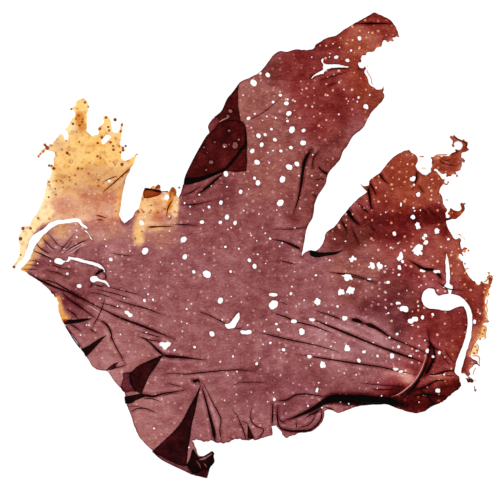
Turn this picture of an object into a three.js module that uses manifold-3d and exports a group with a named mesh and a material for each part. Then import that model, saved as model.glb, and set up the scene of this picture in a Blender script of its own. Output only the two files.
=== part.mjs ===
// A dried blade of laver, the thin red seaweed that nori is pressed from, lying as it was collected:
// one membrane of three lobes, frayed and bleached at its margins, torn, pierced and partly folded over.
// Millimetres, +Z up. The origin is under the middle of the blade, on the surface that it lies on.

import * as THREE from 'three';
import { mergeVertices } from 'three/addons/utils/BufferGeometryUtils.js';
import Module from 'manifold-3d';

// Driving dimensions.
const HALF_WIDTH = 91; // from the middle to the left and the right tip
const HALF_DEPTH = 88.5; // from the middle to the upper and the lower tip
const FILM = 0.7; // thickness of the single membrane
const FOLDED = 0.8; // what a part folded over adds on top of it
const ROLLED = 1.5; // what the rolled lower margin adds
const RUFFLE = 4; // height of the highest ruffle
const RUFFLES = 11; // ruffles round the blade, running out from the middle
const RUFFLE_BEND = 26; // their phase shifts by one radian over this distance outwards, so they curve
const RUFFLE_SHARE = 0.66; // how much of the height is ruffle; the slow swell is the rest
const SWELL = 57; // length of the slow swell that makes the ruffles uneven
const SWELL_HEADING = [0.8, 0.6]; // the way in which the swell runs over the blade
const REST_RADIUS = 26; // the membrane lies flat inside this distance from the middle
const LOOSE_RADIUS = 62; // and is fully ruffled beyond this one
const RIM_STEP = 2; // spacing of the points along a grown margin
const FRAY_STEP = 1.5; // and along a frayed one
const FRAY = 0.3; // how far a frayed margin wanders
const MESH_STEP = 4.6; // side of the triangles of both faces
const CUTTER_LOW = -4; // the cutting prisms reach from here
const CUTTER_HIGH = 14; // to here

// The margin runs clockwise from the loose tip on the left. A grown run is a smooth curve through its
// points, a frayed run is straight from point to point, and two runs meet at a corner.
const MARGIN_START = [-HALF_WIDTH, -8.3];
const grown = (...points) => ({ points, frayed: false });
const frayed = (...points) => ({ points, frayed: true });

const LEFT_LOBE = [
  grown([-89.3, -4], [-89.3, 2.4], [-88.2, 6.6]),
  grown([-84.5, 8.4], [-81, 14.4], [-78.7, 21], [-78, 25.2]),
  frayed([-75.5, 27.6], [-77.6, 30.3], [-75.2, 31.4], [-75.2, 35], [-78.4, 37.6], [-75, 39.8]),
  frayed([-72.6, 42.6], [-70.8, 39.6], [-70.8, 44.6], [-68.4, 46.6], [-67.5, 49.8], [-68.8, 52]),
  grown([-66.8, 54.6], [-64.2, 56], [-62.5, 53], [-62.9, 47.6], [-62.4, 43], [-60.5, 41.7]),
  frayed([-58.6, 44.6], [-56.6, 45], [-56.2, 48.8], [-53.8, 46.4], [-53.4, 42.8], [-50.5, 43.2]),
  frayed([-50.8, 38.6], [-49, 37.2], [-50.2, 34], [-48.2, 31.9], [-46, 33.6], [-43.8, 35]),
  grown([-46.2, 29.8], [-48.2, 25], [-49.6, 19.4], [-50.2, 14.4], [-50.8, 11.2], [-48.9, 8.4]),
];
const BLEACHED_STRIP = [
  grown([-46.4, 10.3], [-43.9, 12.7], [-42.7, 16], [-41.8, 20], [-41, 21.8]),
  frayed([-38.4, 22.4], [-36.2, 23.5], [-34.9, 21], [-32, 20.8], [-30, 22.4], [-28.6, 21.4], [-26.3, 22.8]),
];
const UPPER_LOBE = [
  grown([-25.9, 25.2], [-23.4, 31], [-19.4, 38.4], [-16.9, 42.2]),
  grown([-16.2, 43.2], [-16.9, 45.2], [-14.8, 48.4], [-11.9, 50.9], [-9.5, 55.8]),
  grown([-7.8, 57.8], [-4.8, 62.1], [-0.4, 64.1], [3.2, 66.6], [8.2, 72.8], [10.6, 73.9]),
  grown([13, 73.6], [16.4, 74.6], [20.4, 74.3], [22.9, 74.8]),
  grown([23.6, 76], [28.4, 79], [31.6, 79.8], [34.4, 81.9], [38.6, 84.3], [43, 86.9], [46.1, HALF_DEPTH]),
  grown([49.6, 87], [52.5, 85.4], [54.3, 82.5], [55.7, 79.3]),
  frayed([53.2, 78.2], [50, 77.8], [48.8, 75.5], [46.4, 75], [45.8, 73.8], [42.9, 73.5], [41, 71.8]),
  grown([40, 69.2], [40.9, 67], [42.3, 66]),
  grown([43.6, 63], [46, 60.1], [49.5, 58.9]),
  grown([49.9, 56.4], [47.6, 53.2], [45.2, 50.8], [43.2, 47.4], [42, 44.9], [38, 41.5], [35.8, 37.8]),
  grown([34.1, 35.6], [33.2, 32.8], [30.6, 29.9], [28.5, 27.2], [27.7, 23.7], [24.4, 18.4], [23.3, 15.2]),
  grown([22.9, 11.4], [20.6, 6.8], [19.3, 0.2], [18.4, -4]),
];
const RIGHT_LOBE = [
  grown(
    [20.8, -1.9], [23.8, -2], [26.2, 0.2], [28.3, 5.7], [30, 6.2], [33.3, 10.4], [38.6, 16.6],
    [43.3, 20.4],
  ),
  grown([42.4, 21.5], [40.6, 23.4]),
  grown([43.7, 22.3], [44.3, 24.8], [47.9, 27.4], [52.2, 32.6], [55.6, 35], [59.2, 36.4]),
  frayed([61.4, 34.4], [62.4, 32.8], [61.6, 30.4]),
  grown([62.7, 27.9], [65, 26.7], [67.6, 28.1], [70, 27.4], [72.3, 26.4]),
];
const HANGING_SCRAP = [
  grown([69.6, 29], [67.7, 29]),
  frayed([67.8, 33.2], [70.7, 33.9], [74.6, 33.9], [76.8, 36], [75.1, 38.2], [76, 41.2]),
  grown([78.8, 41.2], [81.5, 38.2], [80.8, 35.6], [79, 34.4]),
  frayed([80.1, 32.2], [79, 30.8], [78.2, 28.4], [75.2, 27.2], [73.9, 25.4]),
];
const RIGHT_MARGIN = [
  grown([72.2, 23.6], [70.7, 20.8], [72, 17.2], [73.4, 13.6]),
  grown([75.2, 13.9], [77.8, 13.3], [79.2, 14.4], [79.4, 16.2]),
  grown([80.7, 14.3], [79.2, 11.7], [76.8, 10.2], [74.7, 9.8]),
  grown([74.3, 12], [73.3, 11.6], [73.6, 8.2], [75.2, 4.6], [76.8, 2.6]),
  frayed([78.7, 3.1], [79, 0.6], [81.2, -1.4], [79.4, -3.2], [78.1, -4.6]),
  grown([79.8, -7.2], [80.9, -10], [83.4, -13.3], [86.2, -14.6], [89.1, -14.1]),
  frayed([89, -10.6], [HALF_WIDTH, -12]),
  grown([90.1, -16], [88.3, -20], [88.1, -25], [89.7, -28.9]),
  frayed([87.2, -31], [86.6, -35], [84, -38.4], [82.6, -41.6], [86.2, -42.8], [86.5, -46], [83, -47.2]),
  frayed([81.4, -49.2], [84.3, -51.1], [81.6, -51.8], [79.6, -49.4], [79, -48]),
];
const LONG_SPLIT = [
  grown([80.6, -42], [82.7, -35], [83.3, -29.6], [82.9, -24.8], [80.3, -20.7], [77.4, -18.8], [75.2, -18.4]),
  grown([75.4, -16.9], [76.5, -16], [74.7, -14.8], [74.8, -12], [74.2, -6], [73.4, -3]),
  grown([73, -6], [73.3, -12], [73.2, -14.6], [71.9, -15.8], [74.2, -16.8], [74.3, -18.3]),
  grown(
    [71.6, -18.8], [69.7, -19.1], [69.2, -17], [66.8, -16.3], [64.4, -18.2], [64.5, -21.8],
    [66.4, -23.8],
  ),
  grown([70, -24.2], [74, -24.8], [77, -23.7], [79.8, -22.9], [81.2, -25.8], [81.4, -31.6], [79.6, -38.4]),
  grown([77.3, -44], [76.7, -48]),
  frayed([78.4, -49.9], [79.2, -53.6]),
];
const LOWER_MARGIN = [
  grown([75.8, -56.2], [72, -59.1], [68, -60.9], [64.4, -63], [61.4, -63.5], [56, -62.2], [51, -60.4]),
  grown([44.4, -60.6], [38.4, -61.5], [34.4, -63.1], [31.4, -63.6], [29.8, -62.2], [27.1, -62.9]),
  grown([26.9, -65.9], [24.6, -68.8], [22.4, -70.4], [17, -71.3]),
  frayed([12.7, -72.9], [11.2, -71.2], [8.7, -68.3], [7, -68.6], [7.3, -71.9], [2, -73.6], [-2.8, -74]),
  frayed([-6.8, -73.3], [-9, -74.8], [-11.6, -75.1], [-15.1, -74.2], [-19.4, -74], [-23, -73.9]),
];
const FOOT = [
  grown([-21.6, -77], [-20.4, -80], [-18, -79.6], [-15.6, -78.2], [-14.9, -80], [-14.8, -82.1]),
  grown([-16.4, -84.2], [-17.6, -HALF_DEPTH]),
];
const LOWER_LEFT = [
  grown([-22.6, -87.1], [-30, -83.6], [-35, -81], [-38.2, -78]),
  grown(
    [-42.8, -73.2], [-45.2, -68.4], [-46.7, -63.6], [-48.1, -60], [-49, -55.4], [-51.2, -53.3],
    [-55.4, -47.9],
  ),
  grown([-60, -46.7], [-63.6, -41.7], [-66.2, -37.7], [-69.6, -33], [-72, -28.6]),
  grown([-74, -25], [-74.5, -20.4], [-78, -16.2], [-81.8, -13.2], [-88.3, -9.1]),
];
const TORN_SIDE_OF_STRIP = [
  frayed([-84, -3.2], [-82.2, 1.2], [-80, 3]),
  grown([-77.4, 5.5], [-74.2, 8], [-67.4, 8.9], [-64.6, 6.8], [-62.4, 6]),
  grown([-64.8, 8.9], [-66.2, 10.2], [-71.6, 9.9], [-77.2, 8.8], [-83.4, 3.6], [-85.4, -0.6], [-87.4, -5.2]),
  grown([-90, -8.9], MARGIN_START),
];
const MARGIN = [
  ...LEFT_LOBE, ...BLEACHED_STRIP, ...UPPER_LOBE, ...RIGHT_LOBE, ...HANGING_SCRAP, ...RIGHT_MARGIN,
  ...LONG_SPLIT, ...LOWER_MARGIN, ...FOOT, ...LOWER_LEFT, ...TORN_SIDE_OF_STRIP,
];

// Tears inside the blade: a middle line and the width at its two ends.
const TEARS = [
  {
    line: [[-75, -5.8], [-72.6, -6], [-70, -4.8], [-65, -5.6], [-59, -7.6], [-56.2, -10]],
    from: 1.9,
    to: 0.8,
  },
  { line: [[-61.6, -12.6], [-58.6, -13], [-56.4, -13.8], [-54.4, -15.8]], from: 2.4, to: 0.7 },
  { line: [[26.2, 70.8], [27.2, 68.4], [31, 68.2], [36.4, 67.4]], from: 0.8, to: 0.9 },
  { line: [[27.4, 68], [25.4, 65.8], [22.2, 63.6]], from: 1.8, to: 0.6 },
  { line: [[-5.4, -25.6], [-6.4, -28.4], [-9.2, -30.4]], from: 1.2, to: 1.9 },
];

// The larger holes that small animals grazed: place and radius.
const UPPER_HOLES = [
  [0.2, 61.8, 1.25], [14.8, 44, 1.2], [19, 39, 1.05], [1.5, 31.6, 1.05], [13.8, 29.8, 1.15],
  [11.2, 25.1, 1.2], [1.9, 23.8, 1], [10.4, 16.2, 1.35], [-56.2, 40, 1.6], [-32.8, 18.2, 1],
];
const MIDDLE_HOLES = [
  [-17.6, -10.9, 1.5], [-26.4, 2.3, 1.15], [-41, -2.1, 1.3], [-47.2, -26, 1.35], [-12.4, -20.9, 1.1],
  [-15.6, -33.6, 1.05], [-2.7, -32.9, 1.3], [-32.9, -38, 1.75], [7.7, -22.5, 1.75], [24.5, -21.4, 1.25],
  [18.6, -32.7, 1.15], [34.8, -27.6, 1], [26.5, -45.3, 1.15], [35.7, -39, 1.2],
];
const RIGHT_HOLES = [
  [37.9, -5, 1.35], [35.7, -11.8, 1.7], [37, -17.1, 1.45], [33.4, -17.7, 1.2], [45.2, -7.8, 1.25],
  [48.4, -7.8, 1.3], [55.9, -4, 1.5], [62.7, -1.9, 2.1], [60.6, 25.3, 1], [57.4, -24.1, 1.35],
  [60.4, -28.4, 1.35], [77.9, 37.8, 1.4],
];
const HOLE_SIDES = 7;
const HOLE_WANDER = 0.1; // how much a corner of a hole strays from its radius

// Parts folded over onto the blade; where an outline leaves the margin, the margin cuts it.
const FOLDS = [
  [ // the flap along the left edge of the upper lobe
    [-27, 22.4], [-20, 25.2], [-15.6, 26], [-12.4, 28], [-2.7, 28.2], [-2.2, 38], [-3, 45.6], [-4.8, 47],
    [-5.9, 57], [-5.3, 63], [-14, 62], [-30, 40],
  ],
  [ // the broad pleat beside the foot
    [-19.8, -53], [-21.4, -60], [-23.7, -70.5], [-24.9, -80], [-25, -83.8], [-30, -82.4], [-38.6, -79],
    [-38, -77.8], [-33, -73.2], [-28.6, -68.4], [-23.6, -60],
  ],
  [ // the short pleat on the lower left
    [-33.9, -41.6], [-38.8, -50], [-42, -56.6], [-49.4, -57.4], [-51, -54], [-49.2, -49.2], [-45.6, -48],
    [-41, -44.4],
  ],
  [ // the crumpled foot
    [-25.2, -83.4], [-23.2, -77], [-20.6, -79.9], [-14, -77], [-13, -83], [-17, -89.5], [-26, -87],
  ],
];
const ROLLED_MARGIN = {
  line: [[12, -67], [20, -63.2], [29, -59.2], [42, -58.2], [58, -59.4]],
  from: 0.6,
  to: 4.4,
};

// A repeatable random number between 0 and 1.
let seed = 20;
function random() {
  seed = (Math.imul(seed, 1664525) + 1013904223) >>> 0;
  return seed / 4294967296;
}

function smoothLine(points, step) {
  const curve = new THREE.CatmullRomCurve3(points.map(([x, y]) => new THREE.Vector3(x, y, 0)));
  const count = Math.max(1, Math.round(curve.getLength() / step));
  return curve.getSpacedPoints(count).map(({ x, y }) => new THREE.Vector2(x, y));
}

// The points of one straight side of a frayed run, without its first; those in between wander.
function frayedSide(start, end) {
  const count = Math.max(1, Math.round(start.distanceTo(end) / FRAY_STEP));
  const side = [];
  for (let i = 1; i < count; i += 1) {
    const point = start.clone().lerp(end, i / count);
    point.x += FRAY * (2 * random() - 1);
    point.y += FRAY * (2 * random() - 1);
    side.push(point);
  }
  side.push(end);
  return side;
}

function marginOutline() {
  const outline = [];
  let start = MARGIN_START;
  for (const run of MARGIN) {
    if (run.frayed) {
      for (const point of run.points) {
        outline.push(...frayedSide(new THREE.Vector2(...start), new THREE.Vector2(...point)));
        start = point;
      }
    } else {
      outline.push(...smoothLine([start, ...run.points], RIM_STEP).slice(1));
      start = run.points.at(-1);
    }
  }
  return outline;
}

// The outline of a band round a middle line, its width going evenly from one end to the other.
function bandOutline({ line, from, to }) {
  const middle = smoothLine(line, RIM_STEP);
  const last = middle.length - 1;
  const left = [];
  const right = [];
  for (let i = 0; i <= last; i += 1) {
    const along = middle[Math.min(i + 1, last)].clone().sub(middle[Math.max(i - 1, 0)]).normalize();
    const half = (from + (to - from) * (i / last)) / 2;
    const across = new THREE.Vector2(-along.y, along.x).multiplyScalar(half);
    left.push(middle[i].clone().add(across));
    right.push(middle[i].clone().sub(across));
  }
  return [...left, ...right.reverse()];
}

function holeOutline([x, y, radius]) {
  const outline = [];
  const turn = random();
  for (let i = 0; i < HOLE_SIDES; i += 1) {
    const angle = (2 * Math.PI * (i + turn)) / HOLE_SIDES;
    const reach = radius * (1 + HOLE_WANDER * (2 * random() - 1));
    outline.push(new THREE.Vector2(x + reach * Math.cos(angle), y + reach * Math.sin(angle)));
  }
  return outline;
}

// How high the underside of the membrane stands over the surface that it lies on.
function lift(x, y) {
  const reach = Math.hypot(x, y);
  const loose = THREE.MathUtils.smoothstep(reach, REST_RADIUS, LOOSE_RADIUS);
  const ruffle = Math.sin(RUFFLES * Math.atan2(y, x) + reach / RUFFLE_BEND);
  const [headingX, headingY] = SWELL_HEADING;
  const swell = Math.sin((2 * Math.PI * (headingX * x + headingY * y)) / SWELL);
  const wave = Math.max(0, RUFFLE_SHARE * ruffle + (1 - RUFFLE_SHARE) * swell);
  return RUFFLE * loose * wave * wave;
}

// The triangles of a staggered grid, as indices into its rows of points.
function gridTriangles(columns, rows) {
  const triangles = [];
  const index = (i, j) => j * (columns + 1) + i;
  for (let j = 0; j < rows; j += 1) {
    for (let i = 0; i < columns; i += 1) {
      const [a, b, c, d] = [index(i, j), index(i + 1, j), index(i, j + 1), index(i + 1, j + 1)];
      triangles.push(...(j % 2 ? [[a, d, c], [a, b, d]] : [[a, b, c], [b, d, c]]));
    }
  }
  return triangles;
}

// The edges that only one triangle has, in that triangle's direction.
function openEdges(triangles) {
  const edges = new Map();
  for (const [a, b, c] of triangles) {
    for (const [start, end] of [[a, b], [b, c], [c, a]]) {
      if (!edges.delete(`${end} ${start}`)) {
        edges.set(`${start} ${end}`, [start, end]);
      }
    }
  }
  return [...edges.values()];
}

// A ruffled slab over the whole field, both faces on the same grid.
function slab(under, over) {
  const width = 2 * HALF_WIDTH + 2 * MESH_STEP;
  const depth = 2 * HALF_DEPTH + 2 * MESH_STEP;
  const rowStep = MESH_STEP * Math.sqrt(0.75);
  const columns = Math.ceil(width / MESH_STEP);
  const rows = Math.ceil(depth / rowStep);
  const low = [];
  const high = [];
  for (let j = 0; j <= rows; j += 1) {
    for (let i = 0; i <= columns; i += 1) {
      const x = (i + (j % 2) / 2) * MESH_STEP - width / 2;
      const y = j * rowStep - depth / 2;
      low.push(x, y, lift(x, y) + under);
      high.push(x, y, lift(x, y) + over);
    }
  }
  const count = low.length / 3;
  const top = gridTriangles(columns, rows);
  const faces = top.flatMap(([a, b, c]) => [a + count, b + count, c + count, a, c, b]);
  for (const [a, b] of openEdges(top)) {
    faces.push(b + count, a + count, a, b + count, a, b);
  }
  const geometry = new THREE.BufferGeometry();
  geometry.setAttribute('position', new THREE.Float32BufferAttribute([...low, ...high], 3));
  geometry.setIndex(faces);
  return toSolid(geometry);
}

function prism(outline) {
  const shape = new THREE.Shape(outline);
  const depth = CUTTER_HIGH - CUTTER_LOW;
  const geometry = new THREE.ExtrudeGeometry(shape, { depth, bevelEnabled: false });
  geometry.translate(0, 0, CUTTER_LOW);
  return toSolid(geometry);
}

const wasm = await Module();
wasm.setup();

function toSolid(geometry) {
  geometry.deleteAttribute('normal');
  geometry.deleteAttribute('uv');
  const merged = mergeVertices(geometry);
  return new wasm.Manifold(new wasm.Mesh({
    numProp: 3,
    vertProperties: Float32Array.from(merged.attributes.position.array),
    triVerts: Uint32Array.from(merged.index.array),
  }));
}

function toGeometry(solid) {
  const { vertProperties, triVerts } = solid.getMesh();
  const geometry = new THREE.BufferGeometry();
  geometry.setAttribute('position', new THREE.Float32BufferAttribute(vertProperties, 3));
  geometry.setIndex([...triVerts]);
  geometry.computeVertexNormals();
  return geometry;
}

// The folded parts reach down into the membrane, so that they are one body with it.
function foldedParts(margin) {
  const folded = slab(FILM / 2, FILM + FOLDED).intersect(margin);
  const rolled = slab(FILM / 2, FILM + ROLLED).intersect(margin);
  const parts = [rolled.intersect(prism(bandOutline(ROLLED_MARGIN)))];
  for (const fold of FOLDS) {
    const outline = fold.map(([x, y]) => new THREE.Vector2(x, y));
    parts.push(folded.intersect(prism(outline)));
  }
  return parts;
}

function largestPiece(solid) {
  const pieces = solid.decompose();
  return pieces.reduce((best, piece) => (piece.volume() > best.volume() ? piece : best));
}

function makeBlade() {
  const margin = prism(marginOutline());
  let blade = slab(0, FILM).intersect(margin);
  for (const part of foldedParts(margin)) {
    blade = blade.add(part);
  }
  for (const tear of TEARS) {
    blade = blade.subtract(prism(bandOutline(tear)));
  }
  for (const hole of [...UPPER_HOLES, ...MIDDLE_HOLES, ...RIGHT_HOLES]) {
    blade = blade.subtract(prism(holeOutline(hole)));
  }
  const laver = new THREE.MeshStandardMaterial({ color: 0x92545a, roughness: 0.55, metalness: 0 });
  const mesh = new THREE.Mesh(toGeometry(largestPiece(blade)), laver);
  mesh.name = 'blade';
  return mesh;
}

const part = new THREE.Group();
part.add(makeBlade());

export default part;
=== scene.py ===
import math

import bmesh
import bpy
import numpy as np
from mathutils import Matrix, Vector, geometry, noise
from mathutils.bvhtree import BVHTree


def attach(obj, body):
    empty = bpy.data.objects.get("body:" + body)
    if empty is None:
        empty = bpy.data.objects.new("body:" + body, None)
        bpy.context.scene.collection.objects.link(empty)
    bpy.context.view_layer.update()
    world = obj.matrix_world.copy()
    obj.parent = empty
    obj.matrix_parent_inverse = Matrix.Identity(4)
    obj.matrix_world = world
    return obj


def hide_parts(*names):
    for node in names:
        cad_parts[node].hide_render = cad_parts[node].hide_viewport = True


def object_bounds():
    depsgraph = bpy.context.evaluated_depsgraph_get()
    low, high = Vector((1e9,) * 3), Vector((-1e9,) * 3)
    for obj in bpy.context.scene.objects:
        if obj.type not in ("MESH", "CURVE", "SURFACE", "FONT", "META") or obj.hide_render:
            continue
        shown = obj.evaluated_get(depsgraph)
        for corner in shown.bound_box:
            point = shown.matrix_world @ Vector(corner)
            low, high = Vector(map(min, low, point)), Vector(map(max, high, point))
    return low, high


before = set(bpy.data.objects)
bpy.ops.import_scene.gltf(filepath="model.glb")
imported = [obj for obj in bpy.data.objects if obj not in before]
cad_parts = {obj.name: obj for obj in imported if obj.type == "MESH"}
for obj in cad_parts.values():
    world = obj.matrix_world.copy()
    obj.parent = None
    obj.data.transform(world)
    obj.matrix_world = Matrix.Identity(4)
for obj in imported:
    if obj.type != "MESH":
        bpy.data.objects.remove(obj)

# %% [markdown]
# # A blade of laver
#
# Laver is the thin red seaweed that nori is pressed from. This is a whole raw blade laid flat: a
# membrane one or two cells thick, in three lobes, bleached on one side, grazed full of small holes,
# torn, and folded over in a few places.
#
# Three things make it look like laver: the ragged margin with its holes, a colour that comes from
# pigment in a clear film, and the dark lines and patches where the film lies double or triple.
#
# Places in plan are in millimetres, x to the right and y up the blade, and turn into metres when a
# mesh is made.

MM = 0.001
SEED = 20
CAD_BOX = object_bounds()
HALF_PLAN = np.array([CAD_BOX[1].x, CAD_BOX[1].y]) / MM
print("CAD box in mm:", [round(v / MM, 1) for corner in CAD_BOX for v in corner])

# %% [markdown]
# ## The rings of the margin
#
# The margin decides the silhouette, so it isn't drawn again here. Where the underside of the CAD blade
# meets its walls run closed rings: one for the margin, and one for each tear and each larger hole. They
# could be traced by hand a second time, but then the two models would drift apart.

# %% Read the rings of the CAD blade
MERGE_WITHIN = 0.002
LOOKS_DOWN = -0.2  # a face looks down where the height of its normal is less than this


def merged_copy(node):
    """The CAD node as one connected mesh in millimetres."""
    bm = bmesh.new()
    bm.from_mesh(node.data)
    bmesh.ops.scale(bm, vec=(1 / MM,) * 3, verts=bm.verts)
    bmesh.ops.remove_doubles(bm, verts=bm.verts, dist=MERGE_WITHIN)
    bmesh.ops.dissolve_degenerate(bm, dist=MERGE_WITHIN, edges=bm.edges)
    bm.normal_update()
    bm.verts.index_update()
    bm.verts.ensure_lookup_table()
    return bm


def underside_rings(bm):
    """Closed rings of plan points, where faces that look down meet the walls."""
    follows = {}
    for edge in bm.edges:
        corners = [corner for corner in edge.link_loops if corner.face.normal.z < LOOKS_DOWN]
        if len(corners) == 1:
            start, end = corners[0].vert.index, corners[0].link_loop_next.vert.index
            follows.setdefault(start, []).append(end)
    rings = []
    while follows:
        here = next(iter(follows))
        ring = []
        while here in follows:
            ring.append(bm.verts[here].co.xy[:])
            ends = follows[here]
            after = ends.pop()
            if not ends:
                del follows[here]
            here = after
        rings.append(np.array(ring))
    return sorted(rings, key=len, reverse=True)


cad = merged_copy(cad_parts["blade"])
cad_rings = underside_rings(cad)
cad_tree = BVHTree.FromBMesh(cad)
print(len(cad_rings), "rings, the margin has", len(cad_rings[0]), "points")

# %% [markdown]
# ## Where the margin is worn
#
# The CAD margin has a point about every 2 mm, enough for a solid and too few for tatters. Where waves
# and small animals have worn the blade, a path takes over from the CAD ring at its first point and
# hands back at its last. Noise alone could roughen these stretches, but hooks, curls and hanging scraps
# are single shapes that have to be drawn. Tears and ragged holes inside the blade are drawn in the same
# way, and take the place of the plainer CAD ring that they lie on.

# %% Worn stretches of the margin
def plan_points(numbers):
    """Plan points from x and y of the first, x and y of the second, and so on."""
    return np.reshape(numbers, (-1, 2)).astype(float)


LEFT_SLIVER = plan_points([
    -83.6, 10.4, -84, 9.6, -84.6, 8, -86, 7.2, -87.2, 7.3, -88, 6.6, -87.9, 5.8, -88.2, 4.6, -88.9, 3.6,
    -89.1, 2.6, -88.8, 1.4, -88.4, 0.4, -88.6, -1, -88.7, -2.6, -88.9, -4, -89.6, -5.4, -90.2, -6.8,
    -90.9, -7.6, -91, -8.6, -90.4, -8.9, -90, -8, -89.3, -6.8, -88, -5.6, -87, -4.4, -86.6, -3.2, -86.2, -1.8,
    -85.6, -0.4, -85.2, 1, -84.8, 2.2, -84, 3.4, -83, 4.2, -82, 4.9, -80, 6.2, -79, 7, -78, 7.9, -77, 8.6,
    -76, 9.1, -74, 9.6, -72, 9.8, -69, 10.2, -67.4, 10.3, -66, 10.1, -65.4, 9.3, -64.4, 8, -63.6, 7.4,
    -62.9, 6.8, -62.9, 6.4, -63.5, 6.4, -64.4, 6.8, -65.2, 7.4, -65.8, 8.2, -66.4, 8.8, -67.6, 9, -70, 8.5,
    -72, 8.4, -74, 8, -76, 7, -77.4, 6, -78.4, 5, -79.4, 4.2, -80, 3.5, -80.8, 2.6, -81.4, 1.6, -82.2, 1,
    -82.6, 0.4, -82.9, -0.6, -83.5, -1.6, -83.5, -2.4, -84, -3.2, -84.4, -4.4, -85.2, -5.6, -86.4, -7,
    -87.4, -8, -88.2, -8.8, -88.3, -9.2, -87.2, -9.7, -86.2, -10, -85.6, -10.5, -84.8, -11.2, -83.2, -12.2,
])
LEFT_TOP = plan_points([
    -77.2, 25.4, -76.5, 27, -76.1, 28.4, -76.3, 29, -77, 29.6, -77.8, 29.8, -77.6, 30.6, -76.8, 30.6,
    -75.2, 30.2, -75.3, 31, -75.6, 32.4, -75.2, 34, -75.4, 35.4, -77, 35.8, -78.4, 36, -79.4, 35, -80.4, 34.3,
    -81.5, 33.3, -81.6, 34.2, -80.7, 35.1, -79.8, 36.2, -79, 36.6, -78.8, 37.4, -79.4, 38.4, -78.8, 38.8,
    -78, 38.1, -77.4, 37.6, -76.8, 38.4, -76, 38.1, -75.4, 38.8, -75, 39.8, -74.6, 40.6, -73.8, 41.4,
    -73, 42.4, -72.4, 42.2, -71.9, 41.2, -71.5, 40.2, -70.9, 39.5, -70.3, 40, -70, 41, -70, 42, -70.4, 43,
    -71.1, 43.5, -71.1, 44.5, -70.4, 45.2, -69.8, 45.8, -69.6, 46.6, -69.1, 47.5, -68.4, 48.4, -67.6, 49.2,
    -67.4, 50, -67.8, 50.8, -68.4, 51.5, -69.4, 51.7, -69.1, 52.3, -68.2, 52.6, -67.4, 53.4, -67, 54.4,
    -66.4, 55.2, -65.4, 55.8, -64.4, 55.8, -63.5, 54.9, -62.8, 53.8, -62.4, 52.8, -62.6, 51.8, -62.9, 50.6,
    -63.1, 49.4, -62.9, 48, -63.1, 46.4, -63.1, 44.8, -63.4, 44, -63.1, 43.2, -62.4, 42.5, -61.6, 42,
    -60.8, 41.8, -60, 42, -59, 42.1, -58.4, 42.6, -58.6, 43.6, -58.9, 44.4, -58, 45.2, -57.1, 45.6,
    -56.9, 46.4, -56.7, 47.4, -57, 48.6, -56.4, 49.2, -55.4, 48.9, -54.6, 47.8, -53.9, 46.6, -53.7, 45.4,
    -53.6, 44, -53.2, 43, -52.4, 42.8, -51.4, 42.8, -50.9, 43.4, -50.4, 44.4, -50.1, 45.6, -50.1, 46.6,
    -49.6, 46.9, -49.3, 46, -49.5, 44.6, -49.9, 43, -50, 41.8, -50.4, 40.6, -50.4, 39.4, -50.6, 38.4,
    -50.1, 37.8, -49.4, 37.4, -48.9, 36.6, -49.2, 35.9, -49.8, 35.6, -49.9, 34.6, -50, 33.4, -49.5, 32.6,
    -48.6, 32.2, -47.8, 32.2, -47.2, 32.7, -46.4, 33.2, -45.2, 33.8,
])
STRIP_TOP = plan_points([
    -44.6, 13, -44, 13.6, -43.3, 14.1, -43, 15.4, -42.6, 17, -42.2, 18.8, -41.8, 20.3, -41.4, 21, -41, 21.9,
    -40.4, 21.9, -39, 21.7, -38.5, 22.3, -37.8, 22.9, -37.1, 22.3, -36.7, 22.6, -36.4, 23, -35.6, 22.9,
    -35.1, 22.2, -35.2, 21.2, -34.9, 20.4, -34.2, 19.8, -33.4, 20, -32.6, 20.5, -31.9, 20.3, -31.5, 21.2,
    -30.9, 22, -30, 22, -29.4, 21.3, -29.2, 20.4, -29.1, 19.4, -28.8, 18.6, -28.3, 18.3, -27.9, 18.9,
    -27.5, 20, -27, 21.4, -26.6, 22.8,
])
BITTEN_TIP = plan_points([
    54.4, 82.6, 55, 81.2, 55.5, 80, 55.8, 79.2, 55.2, 79, 54.6, 79.4, 54, 79, 53.4, 79, 52.8, 78.6,
    53.2, 78.2, 53.6, 77.7, 53, 77.4, 52.2, 77.6, 51.6, 77.3, 51, 77.2, 50.6, 77.6, 50.2, 78, 49.6, 78,
    49.4, 77.6, 49.1, 77, 49.1, 76, 48.6, 75.3, 48, 75.4, 47.4, 75.2, 46.8, 74.8, 46.4, 74.2, 46, 73.7,
    45, 73.5, 44, 73.4, 43.2, 73.2, 42.8, 72.8, 42.6, 72.2, 42, 72.1, 41.4, 72.1, 41.1, 71.4, 41, 70.6,
    41.2, 69.8, 40.8, 69.4, 40.2, 69.2, 39.9, 68.7, 40, 68, 40.4, 67.3, 41, 67.1, 41.8, 67.2, 42.2, 67.9,
    42.6, 67.5, 42.8, 67, 42.4, 66.4, 42.1, 65.8, 42.4, 65, 42.8, 64.4, 43.3, 63.6, 43.6, 62.6, 43.8, 61.8,
    44.3, 61, 45, 60.4, 45.6, 60.2, 46.2, 59.8, 46.8, 59.3, 47.6, 59.1, 48.4, 59.2, 49, 59.5, 49.3, 60.2,
    49.7, 59.4, 49.6, 58.8, 49.4, 58.2, 49.8, 57.6, 49.9, 57,
])
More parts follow.
